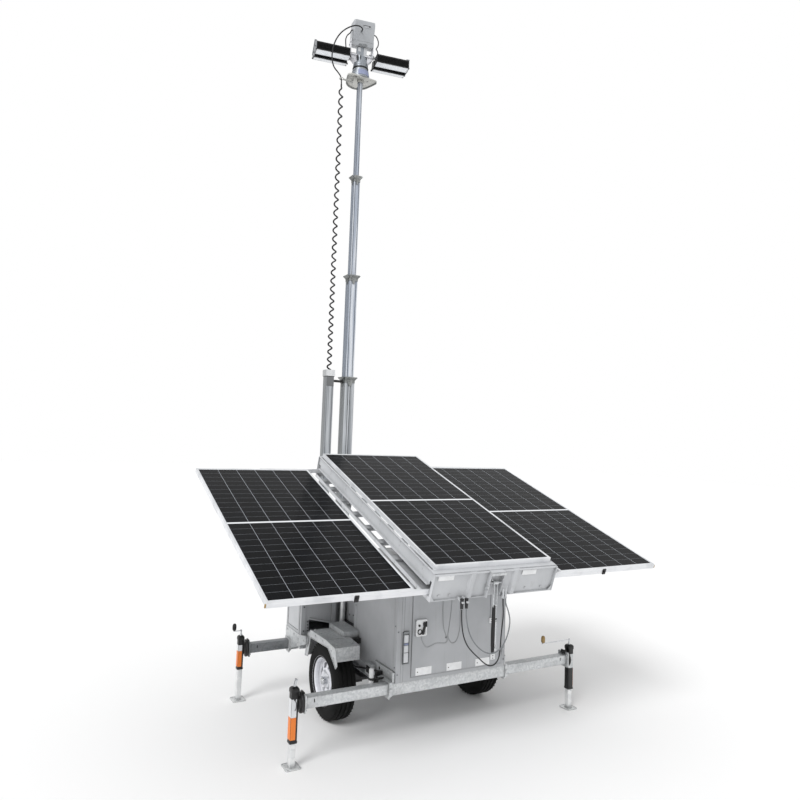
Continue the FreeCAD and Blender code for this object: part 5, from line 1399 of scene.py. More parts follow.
# Long reflector in its channel, left of the door: (low, high) of its white parts
shapes = [block(-455, -450, CABINET_REAR - 13, CABINET_REAR - 1, 604, 832),
          block(-407, -402, CABINET_REAR - 13, CABINET_REAR - 1, 604, 832),
          block(-455, -402, CABINET_REAR - 4, CABINET_REAR - 1, 604, 832),
          pressed(rounded(26.5, 8, 6, (-428.5, 832)), "y", CABINET_REAR - 15, CABINET_REAR - 1),
          block(-455, -402, CABINET_REAR - 11, CABINET_REAR - 1, 604, 609)]
piece("reflector_channel", shapes, DARK_GALVANISED, "chassis", bevel=1)
strips = [pressed(rounded(19, (z1 - z0) / 2, 3, (-427, (z0 + z1) / 2)), "y", CABINET_REAR - 10,
                  CABINET_REAR - 3) for z0, z1 in ((613, 683), (687, 737), (757, 814))]
piece("reflector_strips", strips, SILVER_SHEET, "chassis", bevel=2)
band = [pressed(rounded(18, 6, 2, (-427, 747)), "y", CABINET_REAR - 10.5, CABINET_REAR - 3)]
piece("reflector_band", band, BLUE_TAPE, "chassis", bevel=1)
print("door dressed")

# %% [markdown]
# The front box and the bay. The box's side is a panel inset between posts, with a round lock and a
# small pull handle. The bay's wall has two plugged holes and bolts.

# %% Front box and bay
FRONT_FACE = 1895
# The box's posts: their foot and top
POST_LOW = 566
POST_HIGH = 1198
shapes, recess, gap_shades, locks = [], [], [], []
for side in (-1, 1):
    out = side_range(side, FRONT_BOX_SIDE - 0.5, FRONT_BOX_SIDE + 6)
    thin = side_range(side, FRONT_BOX_SIDE - 0.5, FRONT_BOX_SIDE + 2)
    # Posts, top and sill round the side panel
    for s0, s1, z0, z1 in ((1562, 1584, POST_LOW, POST_HIGH), (1596, 1622, POST_LOW, POST_HIGH),
                           (1868, 1894, POST_LOW, POST_HIGH), (1622, 1868, 1172, POST_HIGH),
                           (1622, 1868, POST_LOW, 590)):
        shapes.append(block(*out, s0, s1, z0, z1))
    recess.append(block(*thin, 1626, 1864, 594, 1168))
    # Black block in the gap between two posts: painted shade
    gap_shades.append(block(*thin, 1584, 1596, 568, SHEET_TOP))
    locks.append(turned(((3, FRONT_BOX_SIDE + 9), (15, FRONT_BOX_SIDE + 9), (19, FRONT_BOX_SIDE + 6),
                         (21, FRONT_BOX_SIDE + 1)), "x", (1668, 742), 28))
    # Pull handle: a bent wire below the lock
    bow = [(FRONT_BOX_SIDE + 2 + 16 * math.sin(a), 1668 + 24 * math.cos(a), 704)
           for a in [math.pi * k / 8 for k in range(9)]]
    locks.append(run_tube(bow, 3.5, 8))
    # Rear-facing sheets of the wings and their posts
    for near, far, proud, z0, z1 in ((562, 826, 1.8, 704, 1190), (518, 556, 10, POST_LOW, POST_HIGH),
                                     (800, FRONT_BOX_SIDE + 6, 8, POST_LOW, POST_HIGH)):
        shapes.append(block(side * near, side * far, FRONT_BOX_REAR - proud, FRONT_BOX_REAR + 0.5, z0, z1))
# Bolts along the wings' openings
bolt_shapes = []
for side in (-1, 1):
    bolt_shapes += bolts([(side * 776, z) for z in (598, 622, 646, 672)], "y",
                         FRONT_BOX_REAR - 5, FRONT_BOX_REAR, 6)
    bolt_shapes += bolts([(side * 816, z) for z in (600, 800, 1000, 1160)], "y",
                         FRONT_BOX_REAR - 12, FRONT_BOX_REAR - 7, 6)
# Roof lip and front door's seams
shapes.append(hollow(rounded(FRONT_BOX_SIDE + 7, 172, 3, (0, 1728.5), 2),
                     rounded(FRONT_BOX_SIDE + 1, 167, 2, (0, 1728.5), 2), "z", 1186, 1202))
for x0, x1 in ((-800, -408), (-404, -2), (2, 404), (408, 800)):
    shapes.append(block(x0, x1, FRONT_FACE - 0.5, FRONT_FACE + 2, 590, 1172))
piece("front_box_sheets", shapes, GREY_PAINT, "chassis", bevel=0.8)
piece("front_box_panels", recess, PALE_PAINT, "chassis", bevel=0.5)
piece("front_box_gap_shades", gap_shades, BLACK_RUBBER, "chassis")
piece("front_box_locks", locks, CHROME, "chassis", bevel=0.6)
for side in (-1, 1):
    bolt_shapes += bolts([(1467, 723), (1391, 735), (1467, 1120), (1391, 1120)], "x",
                         side * 423.5, side * 427, 8)
piece("front_box_bolts", bolt_shapes, BLACK_PAINT, "chassis", bevel=0.4)
# Black strips as painted shadow along the bay's ledge and in its rear corner
shapes = []
for side in (-1, 1):
    shapes.append(block(side * 424, side * 440, 1212, 1559, 640, 668))
    shapes.append(block(side * 424, side * 505, 1208, 1214, 470, SHEET_TOP))
piece("bay_painted_shadows", shapes, BLACK_PAINT, "chassis", bevel=0.8)
print("front box dressed")

# %% [markdown]
# The frame: the outriggers' sleeves with clamp bolts and gussets, light hems on the side members,
# the mast's foot with its ribs, the coupler with its lever, chain eyes, and the white cylinder
# behind the left wheel. Small forged and welded parts are pressed outlines and tubes along lines.

# %% Frame fittings
REAR_BEAM_X = 538
FRONT_BEAM_X = 840
shapes = []
for side in (-1, 1):
    for station, half_x, face in ((REAR_BEAM, REAR_BEAM_X, -1), (FRONT_BEAM, FRONT_BEAM_X, 1)):
        # Clamp bolt through the collar, with its nut, and a gusset below
        x, y = side * half_x, station + face * 51.5
        shapes.append(rod("y", (x, BEAM_HEIGHT - 4), 13, y, y + face * 9, 6))
        shapes.append(rod("y", (x, BEAM_HEIGHT - 4), 17, y, y + face * 2.5, 20))
        shapes.append(pressed([(x - 13, BEAM_HEIGHT - 50), (x + 13, BEAM_HEIGHT - 50), (x, BEAM_HEIGHT - 76)],
                              "y", station - 34, station + 34))
# Hems along the side members
for side in (-1, 1):
    x = side * (FRONT_BEAM_X + 1)
    hose = ((1899, 394), (1794, 394), (1428, 530), (1428, 588), (1560, 567))
    shapes.append(run_tube([(x, s, z) for s, z in hose], 3, 8))
    shapes += bolts([(1470, 545), (1600, 525), (1700, 540), (1870, 540), (1600, 490)], "x",
                    *side_range(side, 839, 846), 7.5)
# Bolts of the mast's foot and welded ribs round it
shapes += bolts([(sx * 82, MAST_STATION + sy * 82) for sx in (-1, 1) for sy in (-1, 1)], "z", 491, 503, 11)
shapes += bolts([(POST_X - 78, MAST_STATION + sy * 78) for sy in (-1, 1)], "z", 479, 490, 11)
piece("frame_fittings", shapes, GALVANISED, "chassis", bevel=0.8)

ribs = []
for out in (-1, 1):
    rib = [(out * 57, 491), (out * 95, 491), (out * 57, 570)]
    ribs.append(pressed(rib, "y", MAST_STATION - 4, MAST_STATION + 4))
    ribs.append(pressed([(MAST_STATION + y, z) for y, z in rib], "x", -4, 4))
piece("mast_foot_ribs", ribs, MAST_METAL, "chassis", bevel=0.8)

# Coupler: cast head with a lever over the ball, its bolts, and safety chain eyes
shapes = [pressed([(3185, 470), (3360, 470), (3372, 486), (3330, 498), (3210, 486)], "x",
                  -20, 20),
          run_tube([(0, 3330, 494), (0, 3290, 512), (0, 3230, 518), (0, 3205, 512)], 8, 12),
          rod("x", (3332, 486), 9, -30, 30, 14)]
for side in (-1, 1):
    shapes += bolts([(3215, 440), (3290, 440)], "x", side * 44, side * 54, 11)
piece("coupler_lever", shapes, BLACK_PAINT, "chassis", bevel=2)
shapes = []
for side in (-1, 1):
    ring = [(side * 62, 3070 + 18 * math.cos(a), 405 + 18 * math.sin(a))
            for a in [2 * math.pi * k / 16 for k in range(17)]]
    shapes.append(run_tube(ring, 4.5, 8))
    shapes.append(block(side * 52, side * 58, 3052, 3088, 404, 440))
piece("chain_eyes", shapes, ZINC, "chassis")

# White cylinder and its bracket behind the left wheel, between the rail and the fender
shapes = [turned(((4, 438), (14, 438), (18, 444), (18, 546), (14, 552), (6, 555)), "z", (-632, 640), 28)]
piece("white_cylinder", shapes, WHITE_PLASTIC, "chassis", bevel=0.8)
shapes = [block(-640, -540, 612, 626, 470, 486), block(-606, -590, 600, 690, 452, 486),
          pressed(rounded(22, 30, 5, (700, 440)), "x", -600, -556),
          run_tube([(-540, 700, 500), (-575, 820, 488), (-600, 960, 460), (-560, 1090, 430)], 7, 8),
          turned(((18.5, 470), (22, 470), (22, 486), (18.5, 486)), "z", (-632, 640), 28, closed=True),
          block(-560, -500, 690, 716, 470, 500)]
piece("cylinder_bracket", shapes, BLACK_PAINT, "chassis", bevel=1.2)
print("frame dressed")

# %% [markdown]
# The mast's sections are square aluminium extrusions with grooves along their faces. Each outline
# is drawn once, with two shallow grooves a side, and pressed along the section's length. The
# collars are castings: a sleeve, then a mouth whose four sides fold outward and leave a V-shaped
# notch at each corner.

# %% Mast


def grooved(half, corner, groove, depth, middle, places):
    """Outline of a square extrusion with grooves in each side."""
    side = [(-half + corner, -half)]
    for place in places:
        a = place * 2 * half
        side += [(a - groove, -half), (a - groove * 0.6, -half + depth), (a + groove * 0.6, -half + depth),
                 (a + groove, -half)]
    side += [(half - corner, -half), (half - corner * 0.3, -half + corner * 0.3)]
    outline = []
    for quarter in range(4):
        for x, y in side:
            for _ in range(quarter):
                x, y = -y, x
            outline.append((middle[0] + x, middle[1] + y))
    return outline


def star_collar(half, inner, middle, top):
    """Sleeve and flared mouth: four plates that lean out, notched at the corners, with a tab below."""
    x0, y0 = middle
    sleeve = half + 7
    shapes = [hollow(rounded(sleeve - 4, sleeve - 4, 6, middle, 2), rounded(inner, inner, 2, middle, 2), "z",
                     top - 62, top - 28)]
    for quarter in range(4):
        turn = Matrix.Translation((x0, y0, 0)) @ Matrix.Rotation(quarter * math.pi / 2, 4, "Z")
        foot, mouth = sleeve - 1, sleeve + 20
        corners = []
        # Rings of the leaning plate: (out from the middle, half width, height)
        for out, wide, z in ((foot, foot - 6, top - 34), (foot, foot - 2, top - 28),
                             (mouth, mouth - 13, top - 6), (mouth, mouth - 15, top),
                             (mouth - 5, mouth - 18, top), (inner + 1, inner - 6, top - 8),
                             (inner + 0.5, inner - 8, top - 34)):
            corners.append([(-wide, -out, z), (wide, -out, z)])
        n = len(corners)
        points = [p for pair in corners for p in pair]
        faces = [(2 * k, 2 * k + 1, (2 * k + 3) % (2 * n), (2 * k + 2) % (2 * n)) for k in range(n)]
        faces += [tuple(2 * k for k in range(n)), tuple(2 * k + 1 for k in reversed(range(n)))]
        shapes.append(placed((points, faces), turn))
        tab = [(wide * out, top - down)
               for out, down in ((-0.86, 30), (0.86, 30), (0.34, 94), (-0.34, 94))]
        shapes.append(placed(pressed(tab, "y", -sleeve, -half + 1), turn))
        # Clamp screw in the middle of each plate's foot
        shapes.append(placed(rod("y", (0, top - 47), 5.5, -sleeve - 3.5, -sleeve + 1, 6), turn))
    return shapes


COLLARS = {"mast_base": (115, 98), "mast_section_2": (98, 72), "mast_section_3": (72, 50)}
MIDDLE = (0, MAST_STATION)
for name, body, size, low, high in MAST_SECTIONS:
    half = size / 2
    outline = grooved(half, 5, 3.6, 5, MIDDLE, (-0.14, 0.06) if name == "mast_base" else (-0.3, 0.3))
    share = (half - 7.5) / half
    inner = [(x * share, MAST_STATION + (y - MAST_STATION) * share) for x, y in outline]
    last = name == "mast_section_4"
    shapes = [hollow(outline, inner, "z", low + (0 if name == "mast_base" else 60),
                     high - (0 if last else 10))]
    if name == "mast_base":
        shapes.append(pressed(rounded(100, 100, 8, MIDDLE), "z", MAST_FOOT, MAST_FOOT + 12))
    piece(name + "_tube", shapes, BASE_METAL if name == "mast_base" else MAST_METAL, body, bevel=0.4,
          stands_for=(name,))
    if not last:
        outer, inside = COLLARS[name]
        piece(name + "_collar", star_collar(outer / 2, inside / 2 + 1.5, MIDDLE, high), COLLAR_METAL, body,
              bevel=0.8)
        # Dark pads fill the gap round the next section and show in the collar's notches
        pad = hollow(rounded(outer / 2 + 4, outer / 2 + 4, 2, MIDDLE, 2),
                     rounded(inside / 2 + 1.2, inside / 2 + 1.2, 2, MIDDLE, 2), "z", high - 30, high - 9)
        piece(name + "_pads", [pad], BLACK_RUBBER, body)
    if name != "mast_base":
        pad = hollow(rounded(half + 4, half + 4, 2, MIDDLE, 2), rounded(half - 1, half - 1, 2, MIDDLE, 2),
                     "z", low, low + 60)
        piece(name + "_foot_pads", [pad], BLACK_RUBBER, body)
print("mast sections:", len(MAST_SECTIONS))

# %% [markdown]
# The cord's post has a deep cap that the coil drops into, with a bright band round its mouth.

# %% Cord post
POST_TOP = 2966
POST_HALF = 44
POST_MIDDLE = (POST_X, MAST_STATION)
outline = grooved(POST_HALF, 5, 3, 3, POST_MIDDLE, (-0.36, 0.3))
inner = [(POST_X + (x - POST_X) * 0.88, MAST_STATION + (y - MAST_STATION) * 0.88) for x, y in outline]
shapes = [hollow(outline, inner, "z", MAST_FOOT, POST_TOP - 2),
          pressed(rounded(70, 70, 6, POST_MIDDLE), "z", MAST_FOOT, MAST_FOOT + 8)]
piece("post_tube", shapes, BASE_METAL, "chassis", bevel=0.4, stands_for=("cable_post",))
shapes = [hollow(rounded(51, 51, 7, POST_MIDDLE), rounded(41, 41, 4, POST_MIDDLE), "z",
                 POST_TOP - 66, POST_TOP)]
piece("post_band", shapes, BRIGHT_BAND, "chassis", bevel=1.2)
# Blank plate below the band, on the rear face only
shapes = [block(POST_X - 41, POST_X + 41, MAST_STATION - 47, MAST_STATION - 43.5,
                POST_TOP - 170, POST_TOP - 72)]
piece("post_plate", shapes, POST_PLATE, "chassis", bevel=0.8)
shapes = [hollow(rounded(48.5, 48.5, 6, POST_MIDDLE), rounded(43.5, 43.5, 4, POST_MIDDLE), "z",
                 POST_TOP - 70, POST_TOP - 65.5)]
# Link bar to the mast's collar
shapes.append(block(POST_X + 44, -64, MAST_STATION - 12, MAST_STATION + 12, 2842, 2867))
shapes.append(pressed(rounded(24, 20, 4, (MAST_STATION, 2854)), "x", -69, -64))
piece("post_link", shapes, BLACK_PAINT, "chassis", bevel=0.8)
print("cord post dressed")

# %% [markdown]
# The head. A pan of folded sheet sits on the top section: straight behind, tapered and round in
# front, with a lip all round. On it stands a cone with a turning drum; the fork above carries the
# drivers' box and the cross arm with four flood lamps. The head is turned a little, so its pieces
# are drawn square and set down by the head's own frame.

# %% Pan and drum
PAN_Z = 6205
PAN_TOP = 6210
SEAL_Z = 6320
DRUM_TOP = 6361
MAST_AXIS = Matrix.Translation((0, (MAST_STATION - ORIGIN_STATION) * MM, 0)) @ Matrix.Scale(MM, 4)


def pan_outline(shrink):
    """Straight rear edge, round corners, tapered sides and round nose of the pan."""
    half = []
    for k in range(7):
        a = math.radians(-90 + 90 * k / 6)
        half.append((135 + 41 * math.cos(a), -52 + 48 * math.sin(a)))
    half.append((160, 5))
    for k in range(9):
        a = math.radians(22.7 + 67.3 * k / 8)
        half.append((140.4 * math.cos(a), 37.6 + 140.4 * math.sin(a)))
    outline = half + [(-x, y) for x, y in reversed(half[:-1])]
    share = 1 - shrink / 176
    return [(x * share, y * share) for x, y in outline]


pan = pan_outline(0)
shapes = [pressed(pan, "z", PAN_Z, PAN_TOP), hollow(pan, pan_outline(4), "z", PAN_Z - 11, PAN_Z + 1),
          hollow(rounded(34, 34, 6), rounded(25.5, 25.5, 2), "z", PAN_Z - 30, PAN_Z + 1)]
# Ear below the pan, and the flat arm that holds the cord's ring, with its bracket
ear = [(-100, PAN_Z + 1), (-114, 6100), (-108, 6080), (-95, 6068), (-80, 6067),
       (-66, 6076), (-58, 6094), (-72, PAN_Z + 1)]
shapes.append(pressed(ear, "y", -72, -66))
arm = [(x + 13 * math.cos(a), 13 * math.sin(a)) for x, start in ((-58, -90), (-190, 90))
       for a in [math.radians(start + 180 * k / 10) for k in range(11)]]
shapes.append(pressed(arm, "z", 6162, 6168.5))
turns = [2 * math.pi * k / 28 for k in range(29)]
ring = [(POST_X + 22 * math.cos(a), 22 * math.sin(a), 6165) for a in turns]
shapes += [run_tube(ring, 4.5, 8), block(-70, -46, -12, 12, 6166, PAN_Z + 1)]
# The pan takes the darkened paint: painted shade on its underside
piece("pan_sheet", shapes, PAN_SHADED_PAINT, "mast_4", MAST_AXIS, bevel=0.6, stands_for=("head_plate",))
shapes = [hollow(pan_outline(9), pan_outline(14), "z", PAN_Z - 7, PAN_Z + 0.5)]
shapes += [rod("z", (x, y), 8, PAN_Z - 5, PAN_Z + 1, 6) for x, y in ((78, -30), (-78, 30), (70, 74))]
shapes += [rod("z", (x, 0), 6, 6157, 6163, 6) for x in (-60, -176)]
shapes.append(block(-164, -76, -3.5, 3.5, 6160, 6162.5))
piece("pan_seam_and_bolts", shapes, COLLAR_METAL, "mast_4", MAST_AXIS, bevel=0.5)
drum = ((112, PAN_TOP), (112, PAN_TOP + 4), (108, PAN_TOP + 7), (89, SEAL_Z - 4), (84, SEAL_Z),
        (83, DRUM_TOP))
shapes = [turned(drum, "z", (0, 0), 48)]
for k in range(8):
    a = 2 * math.pi * (k + 0.5) / 8
    shapes.append(rod("z", (103 * math.cos(a), 103 * math.sin(a)), 6, PAN_TOP + 4, PAN_TOP + 12, 6))
piece("drum", shapes, DRUM_METAL, "mast_4", MAST_AXIS, bevel=0.8)
seal = ((80, SEAL_Z - 2), (88, SEAL_Z - 1), (89, SEAL_Z + 16), (80, SEAL_Z + 18))
shapes = [turned(seal, "z", (0, 0), 48, closed=True)]
piece("drum_seal", shapes, BLACK_RUBBER, "mast_4", MAST_AXIS)
# Blank plate bent round the drum's cone
plate = []
for radius in (1, 2.4):
    for z in (PAN_TOP + 22, PAN_TOP + 84):
        cone = 108 - 19 * (z - PAN_TOP - 7) / (SEAL_Z - 11 - PAN_TOP) + radius
        plate.append([(cone * math.cos(math.radians(a)), cone * math.sin(math.radians(a)), z)
                      for a in range(-128, -44, 7)])
n = len(plate[0])
points = [p for row in plate for p in row]
faces = [(a * n + k, a * n + k + 1, b * n + k + 1, b * n + k) for a, b in ((0, 1), (2, 3), (0, 2), (1, 3))
         for k in range(n - 1)] + [(0, n, 3 * n, 2 * n), (n - 1, 2 * n - 1, 4 * n - 1, 3 * n - 1)]
piece("drum_plate", [(points, faces)], BLUE_TAPE, "mast_4", MAST_AXIS)

# %% [markdown]
# The fork is two sheet cheeks on a foot plate with gussets down to the neck. The box between them
# leans, so it is drawn upright in a frame of its own, with its corners cut by a smaller top ring.

# %% Fork and box
FORK_LOW = 6465
BOX_HALF = 123
BOX_TOP = 6855
ARM_HEIGHT = 6500
shapes = [pressed(rounded(BOX_HALF + 4.5, 52, 10), "z", FORK_LOW, FORK_LOW + 8)]
for side in (-1, 1):
    # Cheek with round corners, folded inward along its front edge
    x0, x1 = side_range(side, BOX_HALF + 0.5, BOX_HALF + 4.5)
    shapes.append(pressed(rounded(52, 92, 14, (0, 6557)), "x", x0, x1))
    x0, x1 = side_range(side, BOX_HALF - 18, BOX_HALF + 4)
    shapes.append(block(x0, x1, 48, 52, FORK_LOW + 8, 6560))
    foot = [(side * 127, FORK_LOW + 2), (side * 127, FORK_LOW - 9), (side * 68, 6394),
            (side * 60, 6400), (side * 60, FORK_LOW + 2)]
    shapes += [pressed(foot, "y", -40, -36), pressed(foot, "y", 36, 40),
               pressed([foot[1], foot[2], (side * 68, 6399), (side * 127, FORK_LOW - 4)], "y", -38, 38)]
piece("fork", shapes, WHITE_PAINT, "head", HEAD, bevel=1, stands_for=("head_yoke",))
# Neck: a cone above the drum, then a folded tube up to the box; black plates on its face are painted shade
# for two slots
cone = ((83, DRUM_TOP + 0.5), (84, DRUM_TOP + 8), (78, DRUM_TOP + 22), (64, FORK_LOW))
shapes = [turned(cone, "z", (0, 0), 48),
          pressed(rounded(50, 33, 9), "z", FORK_LOW + 7, 6576)]
piece("neck", shapes, DRUM_METAL, "head", HEAD, bevel=1)
shapes = []
# Black plates where the slots are: painted shade
for x in (-54, -22):
    lean = [(x - 5, 6404), (x + 5, 6404), (x + 7, 6462), (x - 3, 6462)]
    shapes.append(pressed(lean, "y", -70, -56))
for side in (-1, 1):
    shapes += bolts([(0, ARM_HEIGHT), (-30, 6612), (30, 6612)], "x",
                    *side_range(side, BOX_HALF + 4, BOX_HALF + 9), 9)
piece("neck_slot_shades_and_bolts", shapes, BLACK_PAINT, "head", HEAD, bevel=0.5)
# Pale strips on the neck's face: painted highlight
shapes = [pressed([(20, 6476), (52, 6476), (58, 6574), (24, 6574)], "y", -36.5, -32),
          block(-44, -12, -36, -32.5, 6520, 6570)]
piece("neck_painted_highlights", shapes, PALE_PAINT, "head", HEAD, bevel=0.6)

# Box: chamfered along its upper rear edges, with a pressed slot, a rim below and seams
cross = [(-BOX_HALF, -40), (-BOX_HALF + 20, -60), (BOX_HALF - 6, -60), (BOX_HALF, -54), (BOX_HALF, 60),
         (-BOX_HALF, 60)]
top = [(-BOX_HALF + 14, -34), (-BOX_HALF + 30, -52), (BOX_HALF - 8, -54), (BOX_HALF - 4, -48),
       (BOX_HALF - 4, 54), (-BOX_HALF + 14, 54)]
n = len(cross)
points = [(x, y, BOX_LOW) for x, y in cross] + [(x, y, BOX_TOP - 26) for x, y in cross]
points += [(x, y, BOX_TOP) for x, y in top]
faces = [(row * n + k, row * n + (k + 1) % n, (row + 1) * n + (k + 1) % n, (row + 1) * n + k)
         for row in (0, 1) for k in range(n)] + [tuple(range(n)), tuple(range(2 * n, 3 * n))]
shapes = [(points, faces)]
# Flange round the box's foot, and its stiffened lower edge
shapes.append(block(-BOX_HALF - 0.4, BOX_HALF + 0.4, -63, -59, 6590, 6622))
shapes.append(block(-BOX_HALF + 2, BOX_HALF - 2, -61.5, -59, 6640, 6643))
shapes += bolts([(x, 6606) for x in (-108, 0, 108)], "y", -66, -62, 5)
shapes.append(turned(((6, -74), (9, -73), (10, -66), (10, -59), (6, -59)), "y", (-28, 6736), 18))
piece("drivers_box", shapes, BOX_PAINT, "head", LAMP_BOX, bevel=1.6, stands_for=("head_box",))
shapes = [hollow(rounded(44, 15, 14, (32, 6800), 6), rounded(39, 10, 9.5, (32, 6800), 6), "y",
                 -63, -59)]
piece("box_slot_rim", shapes, PALE_PAINT, "head", LAMP_BOX, bevel=0.8)
# Black ends and a black bar inside the slot: painted shade in its recess
shapes = [pressed(rounded(8, 9, 7.5, (x, 6800), 5), "y", -61, -59.6) for x in (-8, 64)]
shapes.append(block(-2, 64, -60.8, -59.8, 6806, 6809.5))
piece("box_slot_shades", shapes, BLACK_RUBBER, "head", LAMP_BOX)
# Darker sheet on the box's foot flange: painted shade for the gap there
shapes = [pressed([(-52, 6592), (-40, 6612), (38, 6618), (58, 6604), (46, 6590)], "y",
                  -64, -62.6)]
piece("box_foot_gap_shade", shapes, DARK_GALVANISED, "head", LAMP_BOX, bevel=0.4)
print("head box dressed")

# %% [markdown]
# Each flood lamp is a finned casting with bright glass below, in a light frame.
# The fins are one comb drawn across the lamp's back and pressed along its length. An end plate
# ties both rows together; knobs hold the glass frames shut.

# %% Lamps
LAMP_HALF_D = 45
LAMP_HALF_H = 51
LAMP_IN = 152
LAMP_OUT = 522
LAMP_MIDDLE_Z = 6436
# Rows of lamps: (place behind or ahead of the arm, lean in degrees)
LAMP_ROWS = ((-83, 0), (45, 15))
END_PLATE = ((-128, 6387), (-128, 6489), (-120, 6497), (-40, 6547), (-28, 6547),
             (84, 6450), (90, 6440), (90, 6402), (20, 6378))


def finned_back():
    """Outline (depth, height) of the casting: fins along its rear, front and top."""
    d, h, root = LAMP_HALF_D, LAMP_HALF_H, 8
    rear = []
    z = -h + 22
    while z < h - 14:
        rear += [(-d + root, z), (-d, z + 1.5), (-d, z + 4), (-d + root, z + 5.5)]
        z += 9.5
    top = []
    y = -d + root
    while y < d - 13:
        top += [(y, h - root), (y + 1.5, h), (y + 4, h), (y + 5.5, h - root)]
        y += 10.5
    front = [(-y0, z0) for y0, z0 in reversed(rear)]
    return [(-d, -h + 5), (-d, -h + 16), (-d + root, -h + 18)] + rear + top + front + \
        [(d - root, -h + 18), (d, -h + 16), (d, -h + 5)]


def lamp_shapes(x0, x1):
    """Casting, glass frame, reflector, end castings and knobs of one lamp, square to its middle."""
    d, h, middle = LAMP_HALF_D, LAMP_HALF_H, (x0 + x1) / 2
    casting = [pressed(finned_back(), "x", x0 + 3, x1 - 3),
               pressed(rounded(40, 20, 6, (middle, 0), 2), "z", h - 10, h - 0.5)]
    casting += [pressed(rounded(d - 1, h - 3, 8, (0, 2), 3), "x", x, x + t)
                for x, t in ((x0, 5), (x1, -5))]
    outer = rounded((x1 - x0) / 2 - 1, d - 1, 4, (middle, 0), 2)
    inner = rounded((x1 - x0) / 2 - 9, d - 8, 3, (middle, 0), 2)
    frame_shapes = [hollow(outer, inner, "z", -h + 0.5, -h + 5)]
    lens = [block(x0 + 8, x1 - 8, -d + 7, d - 7, -h + 2, -h + 4.5)]
    knobs = [rod("x", (y, -h + 9), 10, x, x + t, 16)
             for x, t in ((x0, -9), (x1, 9)) for y in (-d + 9, d - 12)]
    knobs += [block(x - 8, x + 8, -d - 3, -d + 2, -h + 3, -h + 16) for x in (x0 + 60, middle, x1 - 60)]
    return casting, frame_shapes, lens, knobs


for side, node in ((-1, "lamps_left"), (1, "lamps_right")):
    groups = [[], [], [], []]
    for behind, lean in LAMP_ROWS:
        x0, x1 = side_range(side, LAMP_IN, LAMP_OUT)
        set_down = (Matrix.Translation((0, behind, LAMP_MIDDLE_Z))
                    @ Matrix.Rotation(math.radians(lean), 4, "X"))
        for group, shapes in zip(groups, lamp_shapes(x0, x1)):
            group += [placed(shape, set_down) for shape in shapes]
    middle = side * (LAMP_IN + LAMP_OUT) / 2
    # End plate with a folded edge and two slots' rims, and the saddle over the arm
    near, far = side_range(side, LAMP_OUT + 1.5, LAMP_OUT + 5.5)
    ends = [pressed(END_PLATE, "x", near, far)]
    near, far = side_range(side, LAMP_OUT + 5, LAMP_OUT + 10)
    edge = END_PLATE[1:7]
    ends += [([(x, *p) for x in (near, far)
               for p in ((y0, z0), (y1, z1), (y1 - 1, z1 - 4), (y0 - 1, z0 - 4))],
              [(0, 1, 2, 3), (4, 5, 6, 7), (0, 1, 5, 4), (1, 2, 6, 5), (2, 3, 7, 6), (3, 0, 4, 7)])
             for (y0, z0), (y1, z1) in zip(edge, edge[1:])]
    ends.append(block(middle - 30, middle + 30, -60, 60, 6486, 6496))
    ends.append(turned(((14.5, middle - 30), (19, middle - 30), (19, middle + 30), (14.5, middle + 30)), "x",
                       (0, ARM_HEIGHT), 24, closed=True))
    groups[3] += [rod("x", (y, z), 8, near, far, 14)
                  for y, z in ((-96, 6440), (40, 6446), (0, ARM_HEIGHT))]
    piece(node + "_castings", groups[0], BLACK_CASTING, "lamps", HEAD, stands_for=(node,))
    piece(node + "_frames", groups[1], CHROME, "lamps", HEAD, bevel=0.6)
    piece(node + "_lenses", groups[2], LENS, "lamps", HEAD, bevel=0.6)
    piece(node + "_ends", ends, LAMP_END_METAL, "lamps", HEAD, bevel=0.6)
    piece(node + "_knobs", groups[3], BLACK_RUBBER, "lamps", HEAD, bevel=1)
arm = [rod("x", (0, ARM_HEIGHT), 14, -377, 377, 24)]
arm += [turned(((14, s * 147), (24, s * 147), (24, s * 141), (14, s * 141)), "x", (0, ARM_HEIGHT), 24,
               closed=True) for s in (-1, 1)]
piece("cross_arm", arm, ZINC, "lamps", HEAD, bevel=0.8, stands_for=("lamp_arm",))
print("lamps dressed:", 2 * len(LAMP_ROWS))

# %% [markdown]
# Two short leads loop from the box's sides to the lamps. Each is a smooth line swept with a round
# section.

# %% Lamp leads
# Places from the mast's axis, square to the head: (x, y, z)
LOOP_LEFT = ((-104, -51, 6742), (-137, -80, 6712), (-158, -94, 6668), (-191, -129, 6618),
             (-210, -141, 6574), (-213, -141, 6535), (-196, -90, 6508), (-190, -84, 6484))
LOOP_RIGHT = ((120, 3, 6764), (146, -16, 6752), (162, -36, 6725), (179, -53, 6665), (175, -60, 6612),
              (155, -62, 6570), (160, -86, 6540), (178, -84, 6484))
for name, loop in (("left", LOOP_LEFT), ("right", LOOP_RIGHT)):
    lead = piece(name + "_lamp_lead", [run_tube(smooth(loop, 5), 6, 8)], BLACK_RUBBER, None, HEAD)
    top, foot = [HEAD @ Vector(loop[k]) for k in (0, -1)]
    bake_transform(lead)
print("lamp leads laid")

# %% [markdown]
# Every node that keeps its CAD shape takes its finish here.

